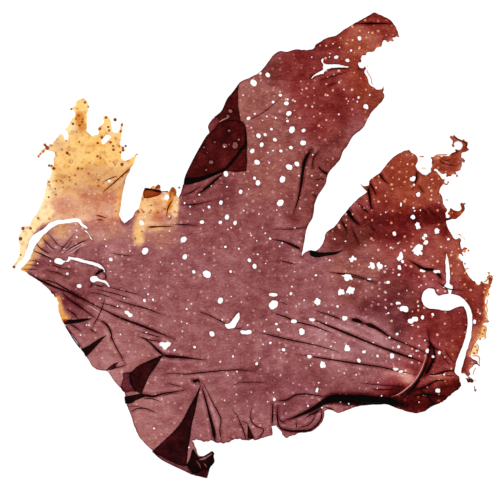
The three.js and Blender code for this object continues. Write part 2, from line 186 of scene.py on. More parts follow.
SCRAP_AND_HOOK = plan_points([
    62.4, 28.6, 63, 28, 63.7, 27.4, 64.4, 26.9, 65.2, 26.7, 66, 26.9, 66.8, 27.6, 67.4, 28.1, 67.5, 28.6,
    67.3, 29, 67.7, 29.7, 67.8, 30.5, 67.6, 31.2, 67.8, 32, 67.8, 32.6, 67.3, 33, 67.4, 33.4, 68.2, 33.3,
    69, 33.7, 70, 33.9, 70.9, 34.1, 71.3, 33.6, 72.3, 34, 73.4, 33.9, 74.4, 34.1, 74.8, 34.6, 75.6, 34.8,
    76.4, 35.2, 76.9, 35.7, 76.5, 36.2, 76.8, 36.6, 77.6, 36.2, 78.4, 36.3, 79.1, 37, 79.5, 38, 79, 38.9,
    78, 39.5, 77, 39.4, 76.4, 38.8, 76.4, 38, 76.6, 37.5, 76.1, 37.3, 75.3, 37.6, 75.2, 38.2, 75.7, 38.7,
    75.9, 39.5, 75.6, 40.1, 75, 40.5, 74.6, 41.1, 75.2, 41.7, 75.9, 41.5, 76.3, 42.1, 77, 41.4, 78, 40.6,
    79, 40.1, 80, 39.9, 80.9, 39.6, 81.5, 39, 81.6, 38.2, 81.1, 37.6, 81.4, 36.9, 81.9, 36.3, 81.3, 35.8,
    80.4, 35.4, 79.5, 35.3, 79, 34.8, 79.1, 34.1, 79, 33.4, 79.8, 32.9, 80.5, 32.3, 80.1, 31.7, 79.3, 31.8,
    79.2, 31, 79.2, 30, 78.8, 29.4, 78.8, 28.7, 78, 28.2, 77, 28, 76.9, 27.2, 77.2, 26.6, 76.4, 26.9,
    75.6, 26.9, 75, 26.2, 74.2, 26.2, 73.5, 25.8, 73.3, 26.3, 73.6, 27, 73.1, 27.3, 72.2, 27.2, 71.2, 27.5,
    70.4, 28.1, 69.8, 28.7, 69.2, 29, 68.7, 28.9, 68.5, 28.5, 69, 28.3, 69.7, 28, 70.3, 27.4, 70.8, 26.7,
    71.2, 25.9, 71.8, 25.2, 72.4, 25.4, 72.8, 24.9, 72.5, 24.3, 72.8, 23.7, 73.6, 23.6, 74, 23.9, 73.9, 23.2,
    73.2, 22.9, 72.4, 23.3, 71.8, 22.8, 71.2, 22, 70.9, 21.2, 70.8, 20.4, 71.3, 19.4, 71.8, 18.4, 72.1, 17.4,
    72.3, 16.4, 72.5, 15.4, 72.9, 14.6, 73.6, 13.8, 73.7, 13.1, 73.2, 12.6, 73.1, 12, 73.3, 11.3, 73.2, 10.6,
    73.7, 10.3, 74.3, 10.3, 74.7, 10.9, 74.7, 11.5, 74.2, 11.8, 73.8, 12.1, 74.3, 12.7, 74.8, 13.2,
    74.9, 13.9, 75.4, 14.2, 75.9, 13.8, 76.3, 13.3, 77, 13.3, 78, 13.1, 78.8, 13.4, 79.2, 14, 79.2, 14.8,
    78.8, 15.4, 78.9, 16.1, 79.5, 16.3, 80.1, 15.7, 80.5, 14.8, 80.6, 13.9, 80.1, 13, 79.4, 12.2, 78.9, 11.4,
    78.2, 10.9, 77.6, 10.3, 77, 10.1, 76.2, 10.2, 75.4, 10, 74.6, 9.7, 73.9, 9.6, 73.4, 9.4, 73.4, 8.7,
    73.6, 8,
])
RIGHT_FRINGE = plan_points([
    73.9, 7.2, 74.2, 6.4, 74.5, 5.6, 74.8, 4.9, 75.3, 4.4, 75.7, 3.7, 76.2, 3, 76.8, 2.4, 77.4, 2.4, 78, 2.7,
    78.3, 3, 78.8, 2.7, 79.2, 2.2, 79, 1.6, 78.8, 0.6, 78.9, -0.4, 79.1, -1.2, 79.7, -1.3, 80.3, -0.7,
    81, -0.9, 81.5, -1.5, 80.8, -1.7, 80.9, -2.4, 80.2, -2.8, 79.8, -2.3, 79.4, -2.6, 79.6, -3.3, 80.1, -4.1,
    79.5, -3.9, 79, -3.3, 78.4, -3.1, 78.1, -3.8, 78.1, -4.6, 78.5, -5.2, 78.9, -5.8, 79.6, -5.9, 79.6, -6.5,
    79.9, -7.2, 80.1, -8, 80.3, -8.7, 81, -8.9, 80.8, -9.4, 80.6, -9.9, 81.1, -10.1, 81.3, -10.8, 81.8, -11.6,
    82.3, -12.3, 82.9, -12.9, 83.5, -13.4, 84, -13.5, 84.5, -14.1, 85, -14.6, 85.7, -14.7, 86.2, -14.4,
    86.2, -13.8, 86.6, -13.4, 87.1, -13.7, 87.5, -14.2, 88.4, -14.5, 89.1, -14.4, 89.2, -13.6, 89.1, -12.8,
    88.6, -12.2, 88.9, -11.6, 89.3, -11.3, 89.4, -10.6, 89.8, -11.1, 90.4, -11.6, 90.9, -12.2, 90.8, -13,
    90.5, -13.8, 90.3, -14.8, 90, -15.6, 89.6, -16.4, 89.1, -17.4, 88.8, -18.4, 88.5, -19.4, 88.1, -20.6,
    88, -21.6, 88.2, -22.6, 88.3, -23.8, 88.4, -26.2, 88.5, -27.4, 88.9, -28, 89.4, -28.6, 89.9, -28.9,
    89.4, -29.5, 88.9, -29.2, 88.2, -29.3, 87.5, -29.9, 87, -30.8, 86.8, -32, 86.4, -34, 86.2, -35,
    85.4, -35.8, 84.8, -36.6, 84.2, -37.6, 83.6, -38.8, 83.2, -40, 82.8, -41, 82.6, -41.8, 83, -42.6,
    83.8, -43.1, 84.6, -43.4, 85.2, -44, 85.4, -44.7, 85.9, -45.4, 86.4, -45.9, 85.8, -46, 85, -45.2,
    84.2, -45.2, 83.4, -45.9, 82.8, -46.6, 82.2, -47.4, 82.2, -48.2, 82.4, -49, 81.6, -49.8, 81, -49.4,
    80.4, -48.8, 79.8, -48.5, 79, -48.5,
])
WORN_STRETCHES = [LEFT_SLIVER, LEFT_TOP, STRIP_TOP, BITTEN_TIP, SCRAP_AND_HOOK, RIGHT_FRINGE]

# %% Tears and ragged holes
TEARS = [
    (-75.4, -5.6, -74.6, -4.8, -73.4, -4.9, -72.4, -5.4, -71.6, -5.9, -70.6, -5.7, -70.3, -4.8, -70, -4.2,
     -68, -4.6, -66, -4.8, -64, -5.5, -62, -6, -60, -6.5, -58, -7.3, -56.9, -8.3, -56.3, -9.1, -56.1, -10.3,
     -56.5, -10, -56.8, -9.1, -57.7, -8.7, -59.3, -8, -60.7, -7.5, -62.9, -6.9, -64.7, -6.4, -66, -6.1,
     -68, -5.5, -69.4, -5.4, -70, -6.1, -71, -6.2, -71.8, -6.4, -72.2, -7, -73.4, -7.1, -74.6, -6.8,
     -75.4, -6.2),
    (-61.9, -12.8, -61.5, -12, -60.6, -11.6, -59.4, -11.6, -58.8, -12.2, -58.3, -12.7, -57.3, -13, -56, -13.3,
     -55.3, -14, -54.7, -14.9, -54.3, -15.7, -54.8, -15.7, -55.4, -15.1, -56.2, -14.3, -57.4, -13.8,
     -59.5, -13.6, -60.2, -13.9, -61.2, -13.8),
    (-64, 5.9, -63.2, 5.5, -62.5, 4.6, -61.8, 3.4, -60.9, 2.2, -61.6, 2.5, -62.3, 3.8, -63, 4.9, -63.8, 5.3),
    (26.6, 71.2, 26, 70.6, 26, 69.8, 26.4, 69.2, 26.7, 68.6, 26.5, 67.6, 26.8, 67, 26.3, 66.4, 25.4, 66,
     24.4, 65.4, 23.4, 64.8, 22.6, 64.2, 22.1, 63.2, 22.6, 63.6, 23.2, 64.2, 24.2, 64.7, 25.2, 65, 26.8, 65.2,
     27, 65.8, 27.6, 66.4, 28.2, 66.9, 29, 67.1, 30, 67.5, 31.4, 67.4, 34.6, 67.5, 36, 67.4, 36.3, 67.7,
     35, 68, 33.6, 68.4, 32, 68.7, 30.4, 68.8, 27.4, 68.9, 26.9, 69.2, 26.6, 69.8, 26.8, 70.4, 26.9, 71),
    (-5.3, -25.5, -5.1, -26.4, -5.1, -27.4, -5.4, -28.4, -6, -29.4, -6.6, -30.4, -7.2, -31.2, -8, -31.5,
     -9, -31.7, -9.8, -31.5, -10.3, -30.9, -10.7, -30.1, -10.4, -29.8, -9.6, -29.8, -8.8, -29.5, -8.2, -28.8,
     -7.6, -28, -6.9, -27.1, -6.2, -26.2, -5.6, -25.6),
]
RAGGED_HOLES = [
    (-35.5, -37, -34.6, -36.6, -33.4, -36.8, -32.2, -36.5, -31.1, -36.9, -31.4, -37.9, -32.4, -38.6,
     -33, -39.4, -34, -39.3, -34.4, -38.4, -35.4, -38),
    (-48.8, -24.9, -47.6, -24.8, -46.8, -25.6, -45.7, -26.2, -46, -27, -47.2, -27.2, -47.6, -26.4,
     -48.6, -25.8),
    (-57.6, 39.8, -57.5, 38.7, -56.7, 38.4, -55.8, 39.2, -54.8, 40.1, -54, 41.1, -54.5, 41.9, -55.6, 42,
     -56.4, 41.4, -57, 40.7),
    (-4.8, -32.4, -4.6, -33.2, -3.9, -33.7, -3, -33.6, -2.4, -33.8, -1.2, -33.6, -0.6, -33.2, -0.6, -32.4,
     -1.2, -32.1, -2.2, -32.2, -3, -32.4, -4, -32.2),
    (36.4, -5.1, 36.6, -4.7, 37.1, -4.9, 37.5, -4.3, 37.8, -3.8, 38.2, -3.9, 38.4, -4.5, 38.9, -4.6, 39.4, -5,
     39.2, -5.6, 38.6, -5.6, 38.1, -5.3, 38.1, -5.9, 37.6, -6.3, 37, -6.2, 36.8, -5.5),
    (43.7, -8, 43.9, -8.5, 44.4, -8.5, 44.7, -8, 45, -8.8, 45.6, -9, 46.1, -8.7, 46.3, -8, 46.1, -7.3,
     46, -6.7, 45.3, -6.5, 44.8, -6.3, 44.3, -6.6, 44.5, -7.1, 44.5, -7.6),
    (47, -7.6, 47, -7, 47.4, -6.5, 47.8, -6.2, 48.2, -6.4, 48.3, -6.9, 48.9, -7.1, 49.3, -7.6, 49.2, -8.3,
     48.8, -8.9, 48.1, -8.9, 47.4, -8.6, 47.3, -8.1),
    (54.5, -4.9, 55, -4.4, 55.4, -3.9, 55.6, -3.2, 55.9, -2.5, 56.3, -2.3, 56.7, -2.9, 56.9, -3.7, 57, -4.6,
     56.6, -5.3, 56, -5.5, 55.6, -5.9, 55, -5.7, 54.8, -5.2),
    (62.6, 0.4, 63.2, 0.7, 63.7, 0.2, 64.3, 0.3, 64.5, -0.5, 64.3, -1.2, 64.5, -1.7, 63.9, -1.7, 63.6, -2.1,
     64.1, -2.5, 64.4, -3.1, 64, -3.7, 63.5, -3.5, 63.2, -3.2, 62.9, -3.8, 62.3, -3.9, 62, -3.4, 61.3, -3.3,
     61, -2.7, 61.2, -2.3, 60.5, -2.3, 60.4, -1.8, 60.9, -1.4, 61.2, -0.8, 61.7, -0.4, 62.1, 0.1),
    (33.4, -11.2, 34.2, -11.3, 34.9, -11.1, 35.3, -10.6, 36, -10.9, 36.7, -10.8, 37.2, -11.3, 37.4, -12,
     37.9, -12.6, 37.6, -13.1, 37.1, -12.9, 36.6, -12.8, 36.3, -13.3, 35.7, -13.5, 35, -13.3, 34.7, -12.7,
     34.8, -12.1, 34.3, -11.8),
    (55.8, -23.6, 56.6, -23, 57.4, -23, 58.6, -23.2, 58.9, -23.6, 58.9, -25, 58.5, -25.3, 57.6, -25.2,
     57, -24.9, 56.2, -24.9, 55.8, -24.6),
    (58.9, -28.2, 59.4, -27.9, 60.2, -27.8, 60.6, -27.2, 61.4, -27.1, 62.4, -27.2, 62.7, -27.8, 62.6, -28.6,
     62, -28.9, 61.2, -28.8, 60.8, -29.3, 60, -29.7, 59.2, -29.4, 58.8, -28.8),
]
TEARS, RAGGED_HOLES = ([plan_points(outline) for outline in outlines] for outlines in (TEARS, RAGGED_HOLES))
print(sum(len(path) for path in WORN_STRETCHES), "points along worn stretches")

# %% [markdown]
# ## A soft, frayed edge
#
# The CAD rings are straight from point to point. A real margin is a growing edge: smooth where it is
# whole and ragged where waves have worn it. Each ring becomes a smooth curve that keeps its sharp
# corners, and every point then moves a little by a noise that depends on its place. Noise by place
# keeps neighbours together, where a random number for each point would make a saw.

# %% Smooth a ring and fray it
CORNER = math.radians(62)  # a sharper turn stays a corner
SMOOTH_STEP = 0.5
FRAY_GAIN = 1.6
FINE_FRAY, COARSE_FRAY, COARSE_SHARE = 1.1, 2.6, 0.9
SHORTEST = 0.01  # a shorter side of a ring is left out
STRAIGHT = 0.01  # the sine of a turn that still counts as straight
WHOLE_FRAY = 0.09  # how far the margin frays where it is whole
WORN = [  # a line, how near to it the margin is fully worn, where that ends, and how far it frays
    ((-79, 30, -66, 53, -52, 46, -46, 33), 7, 12, 0.2),
    ((55, 79, 48, 75, 42, 72), 3, 5, 0.16),
    ((61, 33, 72, 27, 78, 30, 79, 38, 73, 18, 80, 13), 5, 8, 0.14),
    ((78, 4, 80, -4, 89, -13, 88, -30, 84, -44), 3, 6, 0.16),
    ((78, -50, 79, -54, 74, -57), 3, 6, 0.3),
    ((12, -72, -23, -74), 3, 6, 0.3),
    ((-73, -28, -75, -20), 2, 4, 0.25),
]


def distance_to(points, line):
    """How far plan points are from a line of straight pieces, and how far along it they come, 0 to 1."""
    line = plan_points(line)
    if len(line) == 1:
        return np.linalg.norm(points - line[0], axis=1), np.zeros(len(points))
    sides = np.diff(line, axis=0)
    lengths = np.linalg.norm(sides, axis=1)
    starts = np.concatenate([[0], np.cumsum(lengths)])
    nearest, along = np.full(len(points), np.inf), np.zeros(len(points))
    for place, side, length, start in zip(line, sides, lengths, starts):
        share = np.clip((points - place) @ side / length**2, 0, 1)
        distance = np.linalg.norm(points - place - share[:, None] * side, axis=1)
        closer = distance < nearest
        nearest[closer] = distance[closer]
        along[closer] = (start + share[closer] * length) / starts[-1]
    return nearest, along


def near_line(points, line, near, far):
    """1 within `near` of a line, 0 beyond `far`, and smooth in between."""
    share = np.clip((far - distance_to(points, line)[0]) / (far - near), 0, 1)
    return share * share * (3 - 2 * share)


def field_noise(points, size, layer):
    """Smooth noise from -1 to 1 with features of about `size`, unlike any other `layer`, for plan points."""
    return np.array([noise.noise((x / size, y / size, layer)) for x, y in points])


def added_noise(points, fields):
    """Several noises added up: the size, the layer and the weight of each."""
    return sum(weight * field_noise(points, size, layer) for size, layer, weight in fields)


def curve_between(start, end, length, leave, arrive, t):
    """The place at share `t` of a smooth curve between two points, given its headings at both."""
    return ((2 * t**3 - 3 * t**2 + 1) * start + (t**3 - 2 * t**2 + t) * length * leave
            + (3 * t**2 - 2 * t**3) * end + (t**3 - t**2) * length * arrive)


def smooth_ring(ring, step):
    """A curve through the ring's points, straight at sharp corners, with a point every `step`."""
    ahead = np.roll(ring, -1, axis=0) - ring
    length = np.linalg.norm(ahead, axis=1)
    ring, ahead, length = (values[length > SHORTEST] for values in (ring, ahead, length))
    heading = ahead / length[:, None]
    before = np.roll(heading, 1, axis=0)
    straight = (heading * before).sum(axis=1)
    bisector = heading + before
    bisector /= np.maximum(np.linalg.norm(bisector, axis=1), 1e-6)[:, None]
    sharp = straight < math.cos(CORNER)
    points = []
    for i in range(len(ring)):
        j = (i + 1) % len(ring)
        leave = heading[i] if sharp[i] else bisector[i]
        arrive = heading[i] if sharp[j] else bisector[j]
        count = max(1, round(length[i] / step))
        points += [curve_between(ring[i], ring[j], length[i], leave, arrive, k / count) for k in range(count)]
    return np.array(points)


def without_straights(ring):
    """The ring without the points that lie on a straight line between their neighbours."""
    before, after = ring - np.roll(ring, 1, axis=0), np.roll(ring, -1, axis=0) - ring
    cross = before[:, 0] * after[:, 1] - before[:, 1] * after[:, 0]
    size = np.linalg.norm(before, axis=1) * np.linalg.norm(after, axis=1)
    return ring[np.abs(cross) > STRAIGHT * size]


def fray(ring):
    """Moves each point by noise in both directions, more where the margin is worn."""
    reach = np.full(len(ring), WHOLE_FRAY)
    for line, near, far, amount in WORN:
        reach = np.maximum(reach, amount * near_line(ring, line, near, far))
    shift = np.stack([added_noise(ring, ((FINE_FRAY, layer, 1), (COARSE_FRAY, layer + 2, COARSE_SHARE)))
                      for layer in (3, 7)], axis=1)
    return np.clip(ring + FRAY_GAIN * reach[:, None] * shift, -HALF_PLAN, HALF_PLAN)


def taken_over(ring, path):
    """The ring with the stretch between the path's two ends replaced by the path."""
    first, last = (np.linalg.norm(ring - end, axis=1).argmin() for end in (path[0], path[-1]))
    if (last - first) % len(ring) > len(ring) / 2:
        first, last, path = last, first, path[::-1]
    kept = np.roll(ring, -first, axis=0)[(last - first) % len(ring) + 1:]
    return np.concatenate([path, kept])


GIVES_WAY = 2.4  # a CAD hole whose middle is this near to a drawn outline gives way to it

margin, *inner_rings = [without_straights(ring) for ring in cad_rings]
for path in WORN_STRETCHES:
    margin = taken_over(margin, path)
drawn = [*TEARS, *RAGGED_HOLES, SCRAP_AND_HOOK]
plain_rings = [ring for ring in inner_rings
               if all(np.linalg.norm(outline - ring.mean(axis=0), axis=1).min() > GIVES_WAY
                      for outline in drawn)]
rings = [fray(smooth_ring(ring, SMOOTH_STEP)) for ring in (margin, *TEARS)]
print("margin and tears:", sum(len(ring) for ring in rings), "points;", len(plain_rings), "CAD holes left")

# %% [markdown]
# ## Grazed holes
#
# Snails and sand hoppers graze laver full of holes of 1 to 4 mm. The largest are already in the CAD
# blade. The smaller ones follow here, each listed as x, y and radius, with a second radius where
# the hole is longer one way. They are real holes, cut into the mesh: painted dots would look right only
# from straight above.

# %% Places of the smaller holes
UPPER_LOBE_HOLES = [
    (5.6, 64.8, 0.85), (2.8, 65.4, 0.5), (12.7, 54, 0.85), (13.2, 55.5, 0.4), (13.6, 50.2, 0.95),
    (13.1, 47.3, 0.5), (10.4, 57.1, 0.6), (7.7, 54.5, 0.55), (8.6, 48.5, 0.4), (0.7, 50, 0.4),
    (-1.7, 48.3, 0.7), (19.2, 43.7, 0.7), (7, 44.2, 0.5), (2.1, 41.7, 0.85), (4.6, 42.1, 0.6),
    (3.3, 38.3, 0.8), (8.3, 40.2, 0.7), (-0.3, 35.9, 0.85), (14.4, 37.2, 0.7), (10.6, 35.9, 0.6),
    (16.7, 31, 0.9), (42.9, 52.7, 0.9), (40, 56.1, 0.45), (39.6, 54.6, 0.35), (40.4, 78.7, 0.75),
    (35.8, 70.2, 0.7), (31.6, 71.5, 0.7), (37.2, 74, 0.45),
]
MIDDLE_HOLES = [
    (-10.3, 27.2, 0.95), (0.6, 25.6, 0.6), (-4.7, 20.4, 0.75), (-20.4, 19.3, 0.4), (-9.9, 22.3, 0.35),
    (-12.2, 16.3, 0.75), (-16.7, 14.6, 0.55), (-26, 16.1, 0.4), (-9.9, 10.8, 0.9), (-12.4, 8.8, 0.65),
    (-19.4, 8.9, 0.75), (-6.8, 8.6, 0.75), (-22.5, -10, 0.65), (-8.5, -9.9, 0.5), (-25.9, -4.3, 0.9),
    (-10.5, -0.5, 0.5), (-5.4, -1.2, 0.4), (-1.4, -5.6, 0.7), (0.6, -7.9, 0.85), (6.5, 2.6, 0.45),
    (-54, -5.3, 0.7), (-55.8, -0.3, 0.35), (-66, -15.4, 0.85), (-70.5, -10.7, 0.5), (-67, 5.7, 0.35),
    (-67, 3.2, 0.4), (-77, -5.9, 0.35), (-81.8, -6.8, 0.3), (-42.3, 8.6, 0.9), (-54.6, 24.5, 0.6),
    (-41.2, -20.9, 0.6), (-38, -20.6, 0.45), (-25.2, -24.1, 0.4), (23.9, -11.3, 0.45),
]
LOWER_HOLES = [
    (-22.2, -38.6, 0.5), (-29.8, -39.7, 0.45), (-7.6, -42.1, 0.45), (1.4, -44.9, 0.55),
    (7.7, -18.7, 1.5, 0.7), (14.4, -18.3, 0.55), (15.5, -28.8, 1, 0.8), (22.4, -28.2, 1, 0.6),
    (8.9, -29.8, 0.5), (9.7, -32, 0.6), (32.1, -23.1, 0.5), (6.6, -37, 0.5), (11.6, -39.6, 0.65),
    (21.4, -42.2, 0.9, 0.6), (42.1, -40.4, 0.65), (47.2, -41.9, 0.5), (52.6, -41.8, 0.9),
    (40.2, -43.7, 0.7), (54, -46.8, 1, 0.55), (56, -47.7, 0.75, 0.5), (54.7, -33.6, 0.55),
    (55.2, -38.4, 0.6), (59.6, -41.9, 0.8, 0.45), (66.2, -40, 0.75), (68.4, -42.2, 0.5),
    (70.8, -40.7, 0.6), (65.3, -36, 0.35), (63.1, -38, 0.35), (62, -40, 0.35), (51.7, -34.9, 0.4),
    (24.3, -54.9, 0.55, 0.85), (8.1, -58.5, 0.55), (20.9, -60.9, 0.4), (70.1, -55, 0.85),
    (72.6, -49, 0.4), (84.2, -29, 0.5, 0.9), (-37.6, -69.5, 0.4), (-24.3, -76.7, 0.35),
]
RIGHT_LOBE_HOLES = [
    (55.6, -8.4, 0.6, 1), (55.5, -11.1, 0.5), (56.8, -6.1, 0.6), (53.7, 4.5, 0.75), (65.7, 1.1, 0.85),
    (64.8, 2.8, 0.6), (65.6, 3.8, 0.65), (69.9, 5.5, 0.95), (62.6, 7.5, 0.9, 1.2), (60.8, 10.8, 0.85),
    (74.2, 2.4, 0.5), (62.8, 19.4, 0.85), (56.2, 15.6, 0.4, 0.7), (61.1, 23, 0.45), (61, 14.3, 0.4),
    (61.4, 13.2, 0.35), (64.3, -9.6, 1, 0.5), (69.8, -9.9, 1.2, 0.6), (51.3, -14, 0.8, 0.45),
    (64.4, -27.3, 0.7), (68.3, -26.2, 0.55), (55.1, -21.9, 1.1, 0.45), (50.3, -7.8, 0.45, 0.3),
    (44.1, -12.8, 0.75, 0.32), (52.3, -0.8, 0.4), (55.1, 0.8, 0.35), (51.4, -25.7, 0.4),
    (60.6, -30.3, 0.5, 0.2),
]
HOLES = UPPER_LOBE_HOLES + MIDDLE_HOLES + LOWER_HOLES + RIGHT_LOBE_HOLES

# %% Turn each hole into a ring that isn't quite round
rng = np.random.default_rng(SEED)
HOLE_SIDE = 0.36
HOLE_POINTS = (6, 34)
BITE = 1.61  # from one bite to the next
BITE_SHIFTS = ((1, 0.8), (2, 0.5))  # how far bites shift once and twice round, in radians
SHALLOW, DEEP = 0.14, 0.5  # the depth of the bites as a share of the hole's size
DEEP_FROM = (12, 28)  # the x over which they get deeper
BITTEN_SIZES = (0.27, 1.17)  # a smaller hole has no bites, and a larger one has full ones
OVAL = 0.12
SMALL_RING = 12  # a CAD ring with fewer points is a plain hole
PLAIN_SHARE = 0.94  # of its size


def hole_ring(x, y, across, up=None):
    """A closed ring of small bites round a hole, deeper on the right half of the blade."""
    up = up or across
    size = max(across, up)
    count = int(np.clip(round(2 * math.pi * size / HOLE_SIDE), *HOLE_POINTS))
    angle = 2 * math.pi * (np.arange(count) + rng.random()) / count
    depth = np.interp(x, DEEP_FROM, (SHALLOW, DEEP)) * np.interp(size, BITTEN_SIZES, (0, 1))
    bites = max(3, round(2 * math.pi * size / BITE))
    wander = sum(shift * np.sin(turns * angle + rng.uniform(0, 6)) for turns, shift in BITE_SHIFTS)
    arch = np.abs(np.sin(bites * angle / 2 + wander))
    reach = 1 - depth / 2 + depth * arch + OVAL * np.sin(2 * angle + rng.uniform(0, 6))
    return np.stack([x + across * reach * np.cos(angle), y + up * reach * np.sin(angle)], axis=1)


def ring_as_hole(ring):
    """A bitten ring in the place of a plain one of the CAD blade."""
    middle = ring.mean(axis=0)
    return hole_ring(*middle, PLAIN_SHARE * np.linalg.norm(ring - middle, axis=1).mean())


holes = [hole_ring(*hole) for hole in HOLES]
holes += [ring_as_hole(ring) for ring in plain_rings if len(ring) < SMALL_RING]
holes += [smooth_ring(outline, HOLE_SIDE) for outline in RAGGED_HOLES]
rings += [fray(smooth_ring(ring, SMOOTH_STEP)) for ring in plain_rings if len(ring) >= SMALL_RING]
print(len(holes), "holes,", len(rings), "other rings")

# %% [markdown]
# ## A mesh that follows the margin
#
# A thin leaf could be a grid with its edge cut off, but that leaves stairs along every hole. A
# constrained Delaunay triangulation takes the rings as fixed edges and fills the space between with
# well-shaped triangles. A row of points just inside each edge lets the dark rim stay narrow, and some
# points of the fill serve as centres for pinholes.

# %% Helpers for points inside rings
def inside(points, all_rings):
    """Which plan points lie on the blade: those with an odd number of ring sides to their right."""
    order = np.argsort(points[:, 1])
    xs, ys = points[order].T
    odd = np.zeros(len(points), bool)
    for ring in all_rings:
        for (x0, y0), (x1, y1) in zip(ring, np.roll(ring, -1, axis=0)):
            if y0 != y1:
                first, last = np.searchsorted(ys, sorted((y0, y1)))
                crossing = x0 + (ys[first:last] - y0) * (x1 - x0) / (y1 - y0)
                odd[first:last] ^= xs[first:last] < crossing
    result = np.zeros(len(points), bool)
    result[order] = odd
    return result


def edge_distance(points, all_rings, most=4.0):
    """How far plan points are from the nearest ring point, up to `most`."""
    rim = np.concatenate(all_rings)
    cells = {}
    for i, (column, row) in enumerate(np.floor(rim / most).astype(int)):
        cells.setdefault((column, row), []).append(i)
    result = np.full(len(points), most)
    homes = np.floor(points / most).astype(int)
    keys, which = np.unique(homes, axis=0, return_inverse=True)
    which = which.ravel()
    for k, (column, row) in enumerate(keys):
        close = [i for dx in (-1, 0, 1) for dy in (-1, 0, 1) for i in cells.get((column + dx, row + dy), ())]
        if close:
            members = np.flatnonzero(which == k)
            gaps = np.linalg.norm(points[members][:, None] - rim[close][None], axis=2)
            result[members] = np.minimum(most, gaps.min(axis=1))
    return result


def inner_row(ring, gap):
    """Points of a row beside the ring, on both sides of it, `gap` away."""
    side = np.roll(ring, -1, axis=0) - np.roll(ring, 1, axis=0)
    across = np.stack([-side[:, 1], side[:, 0]], axis=1)
    across *= gap / np.maximum(np.linalg.norm(across, axis=1), 1e-6)[:, None]
    return np.concatenate([ring + across, ring - across])


# %% Fill the rings with triangles
RIM_WIDTH = 0.5
JITTER, FILL_CLEAR = 0.16, 0.4  # shares of the spacing
BESIDE_CLEAR = 0.8  # how far the row beside a ring is clear of other rings, as a share of its gap


def fill_points(all_rings, spacing):
    """Points of a jittered hexagonal grid on the blade, clear of its edges."""
    everything = np.concatenate(all_rings)
    low, high = everything.min(axis=0), everything.max(axis=0)
    rows = np.arange(low[1], high[1], spacing * math.sqrt(0.75))
    columns = np.arange(low[0], high[0], spacing)
    grid = np.array([(x + spacing / 2 * (j % 2), y) for j, y in enumerate(rows) for x in columns])
    grid += rng.uniform(-JITTER, JITTER, grid.shape) * spacing
    grid = grid[inside(grid, all_rings)]
    return grid[edge_distance(grid, all_rings) > RIM_WIDTH + FILL_CLEAR * spacing]


def triangulate(all_rings, fill):
    """Plan points and triangles of the area between the rings."""
    beside = np.concatenate([inner_row(ring, RIM_WIDTH) for ring in all_rings])
    beside = beside[inside(beside, all_rings)]
    beside = beside[edge_distance(beside, all_rings) > BESIDE_CLEAR * RIM_WIDTH]
    points = [Vector(point) for point in np.concatenate([*all_rings, beside, fill])]
    sides, start = [], 0
    for ring in all_rings:
        sides += [(start + i, start + (i + 1) % len(ring)) for i in range(len(ring))]
        start += len(ring)
    found, _, faces, *_ = geometry.delaunay_2d_cdt(points, sides, [], 0, 1e-4, False)
    plan, triangles = np.array(found), np.array(faces)
    triangles = triangles[inside(plan[triangles].mean(axis=1), all_rings)]
    used, triangles = np.unique(triangles, return_inverse=True)
    return plan[used], triangles.reshape(-1, 3)


# %% Choose the pinholes and make the plan of the blade
FILL_SPACING = 0.84
PINHOLES = 150
PINHOLE_RADII = (0.22, 0.36)
PINHOLE_CLEAR = 1.5  # how far pinholes stay from other rings
PINHOLE_ROOM = 0.55  # how far the points of the fill stay from a pinhole
BLEACHED = (-44, 6)  # none to the left of this and above it
YOUNG = (-14, -36)  # and none to the left of this and below it

rings += holes
candidates = fill_points(rings, FILL_SPACING)
clear = candidates[edge_distance(candidates, rings) > PINHOLE_CLEAR]
clear = clear[(clear[:, 0] > BLEACHED[0]) | (clear[:, 1] < BLEACHED[1])]
clear = clear[(clear[:, 0] > YOUNG[0]) | (clear[:, 1] > YOUNG[1])]
pinholes = [hole_ring(x, y, rng.uniform(*PINHOLE_RADII)) for x, y in rng.permutation(clear)[:PINHOLES]]
rings += pinholes
fill = candidates[edge_distance(candidates, pinholes) > PINHOLE_ROOM]
plan, triangles = triangulate(rings, fill)
print("plan of the blade:", len(plan), "points,", len(triangles), "triangles")

# %% [markdown]
# ## How the membrane lies
#
# A blade dries flat in its middle and ruffled towards its margin. The CAD blade has those ruffles in
# large flat facets, so a ray from below reads their height at every point, and averaging over
# neighbours turns the facets into waves. Small puckers, which a scan by ray can't know, are noise.

# %% Read the height and smooth it
WELL_CLEAR = 20.0  # far above or below the blade
HIGHEST = 4.2  # leaves room for the leaf and the ridges on it


def cad_height(point):
    """Height of the CAD blade's underside over one plan point, or over the nearest one that it has."""
    hit = cad_tree.ray_cast(Vector((*point, -WELL_CLEAR)), Vector((0, 0, 1)))[0]
    if hit is None:
        hit = cad_tree.find_nearest(Vector((*point, 0)))[0]
    return min(hit.z, HIGHEST)


def edges_of(faces):
    """Each edge of the triangles once, and how many triangles share it."""
    sides = np.sort(np.concatenate([faces[:, [0, 1]], faces[:, [1, 2]], faces[:, [2, 0]]]), axis=1)
    return np.unique(sides, axis=0, return_counts=True)


def averaged(values, edges, rounds):
    """Each value moved towards the mean of its neighbours, over and over."""
    count = len(values)
    neighbours = np.maximum(np.bincount(edges.ravel(), minlength=count), 1)
    for _ in range(rounds):
        total = np.bincount(edges[:, 0], values[edges[:, 1]], count)
        total += np.bincount(edges[:, 1], values[edges[:, 0]], count)
        values = (values + total / neighbours) / 2
    return values


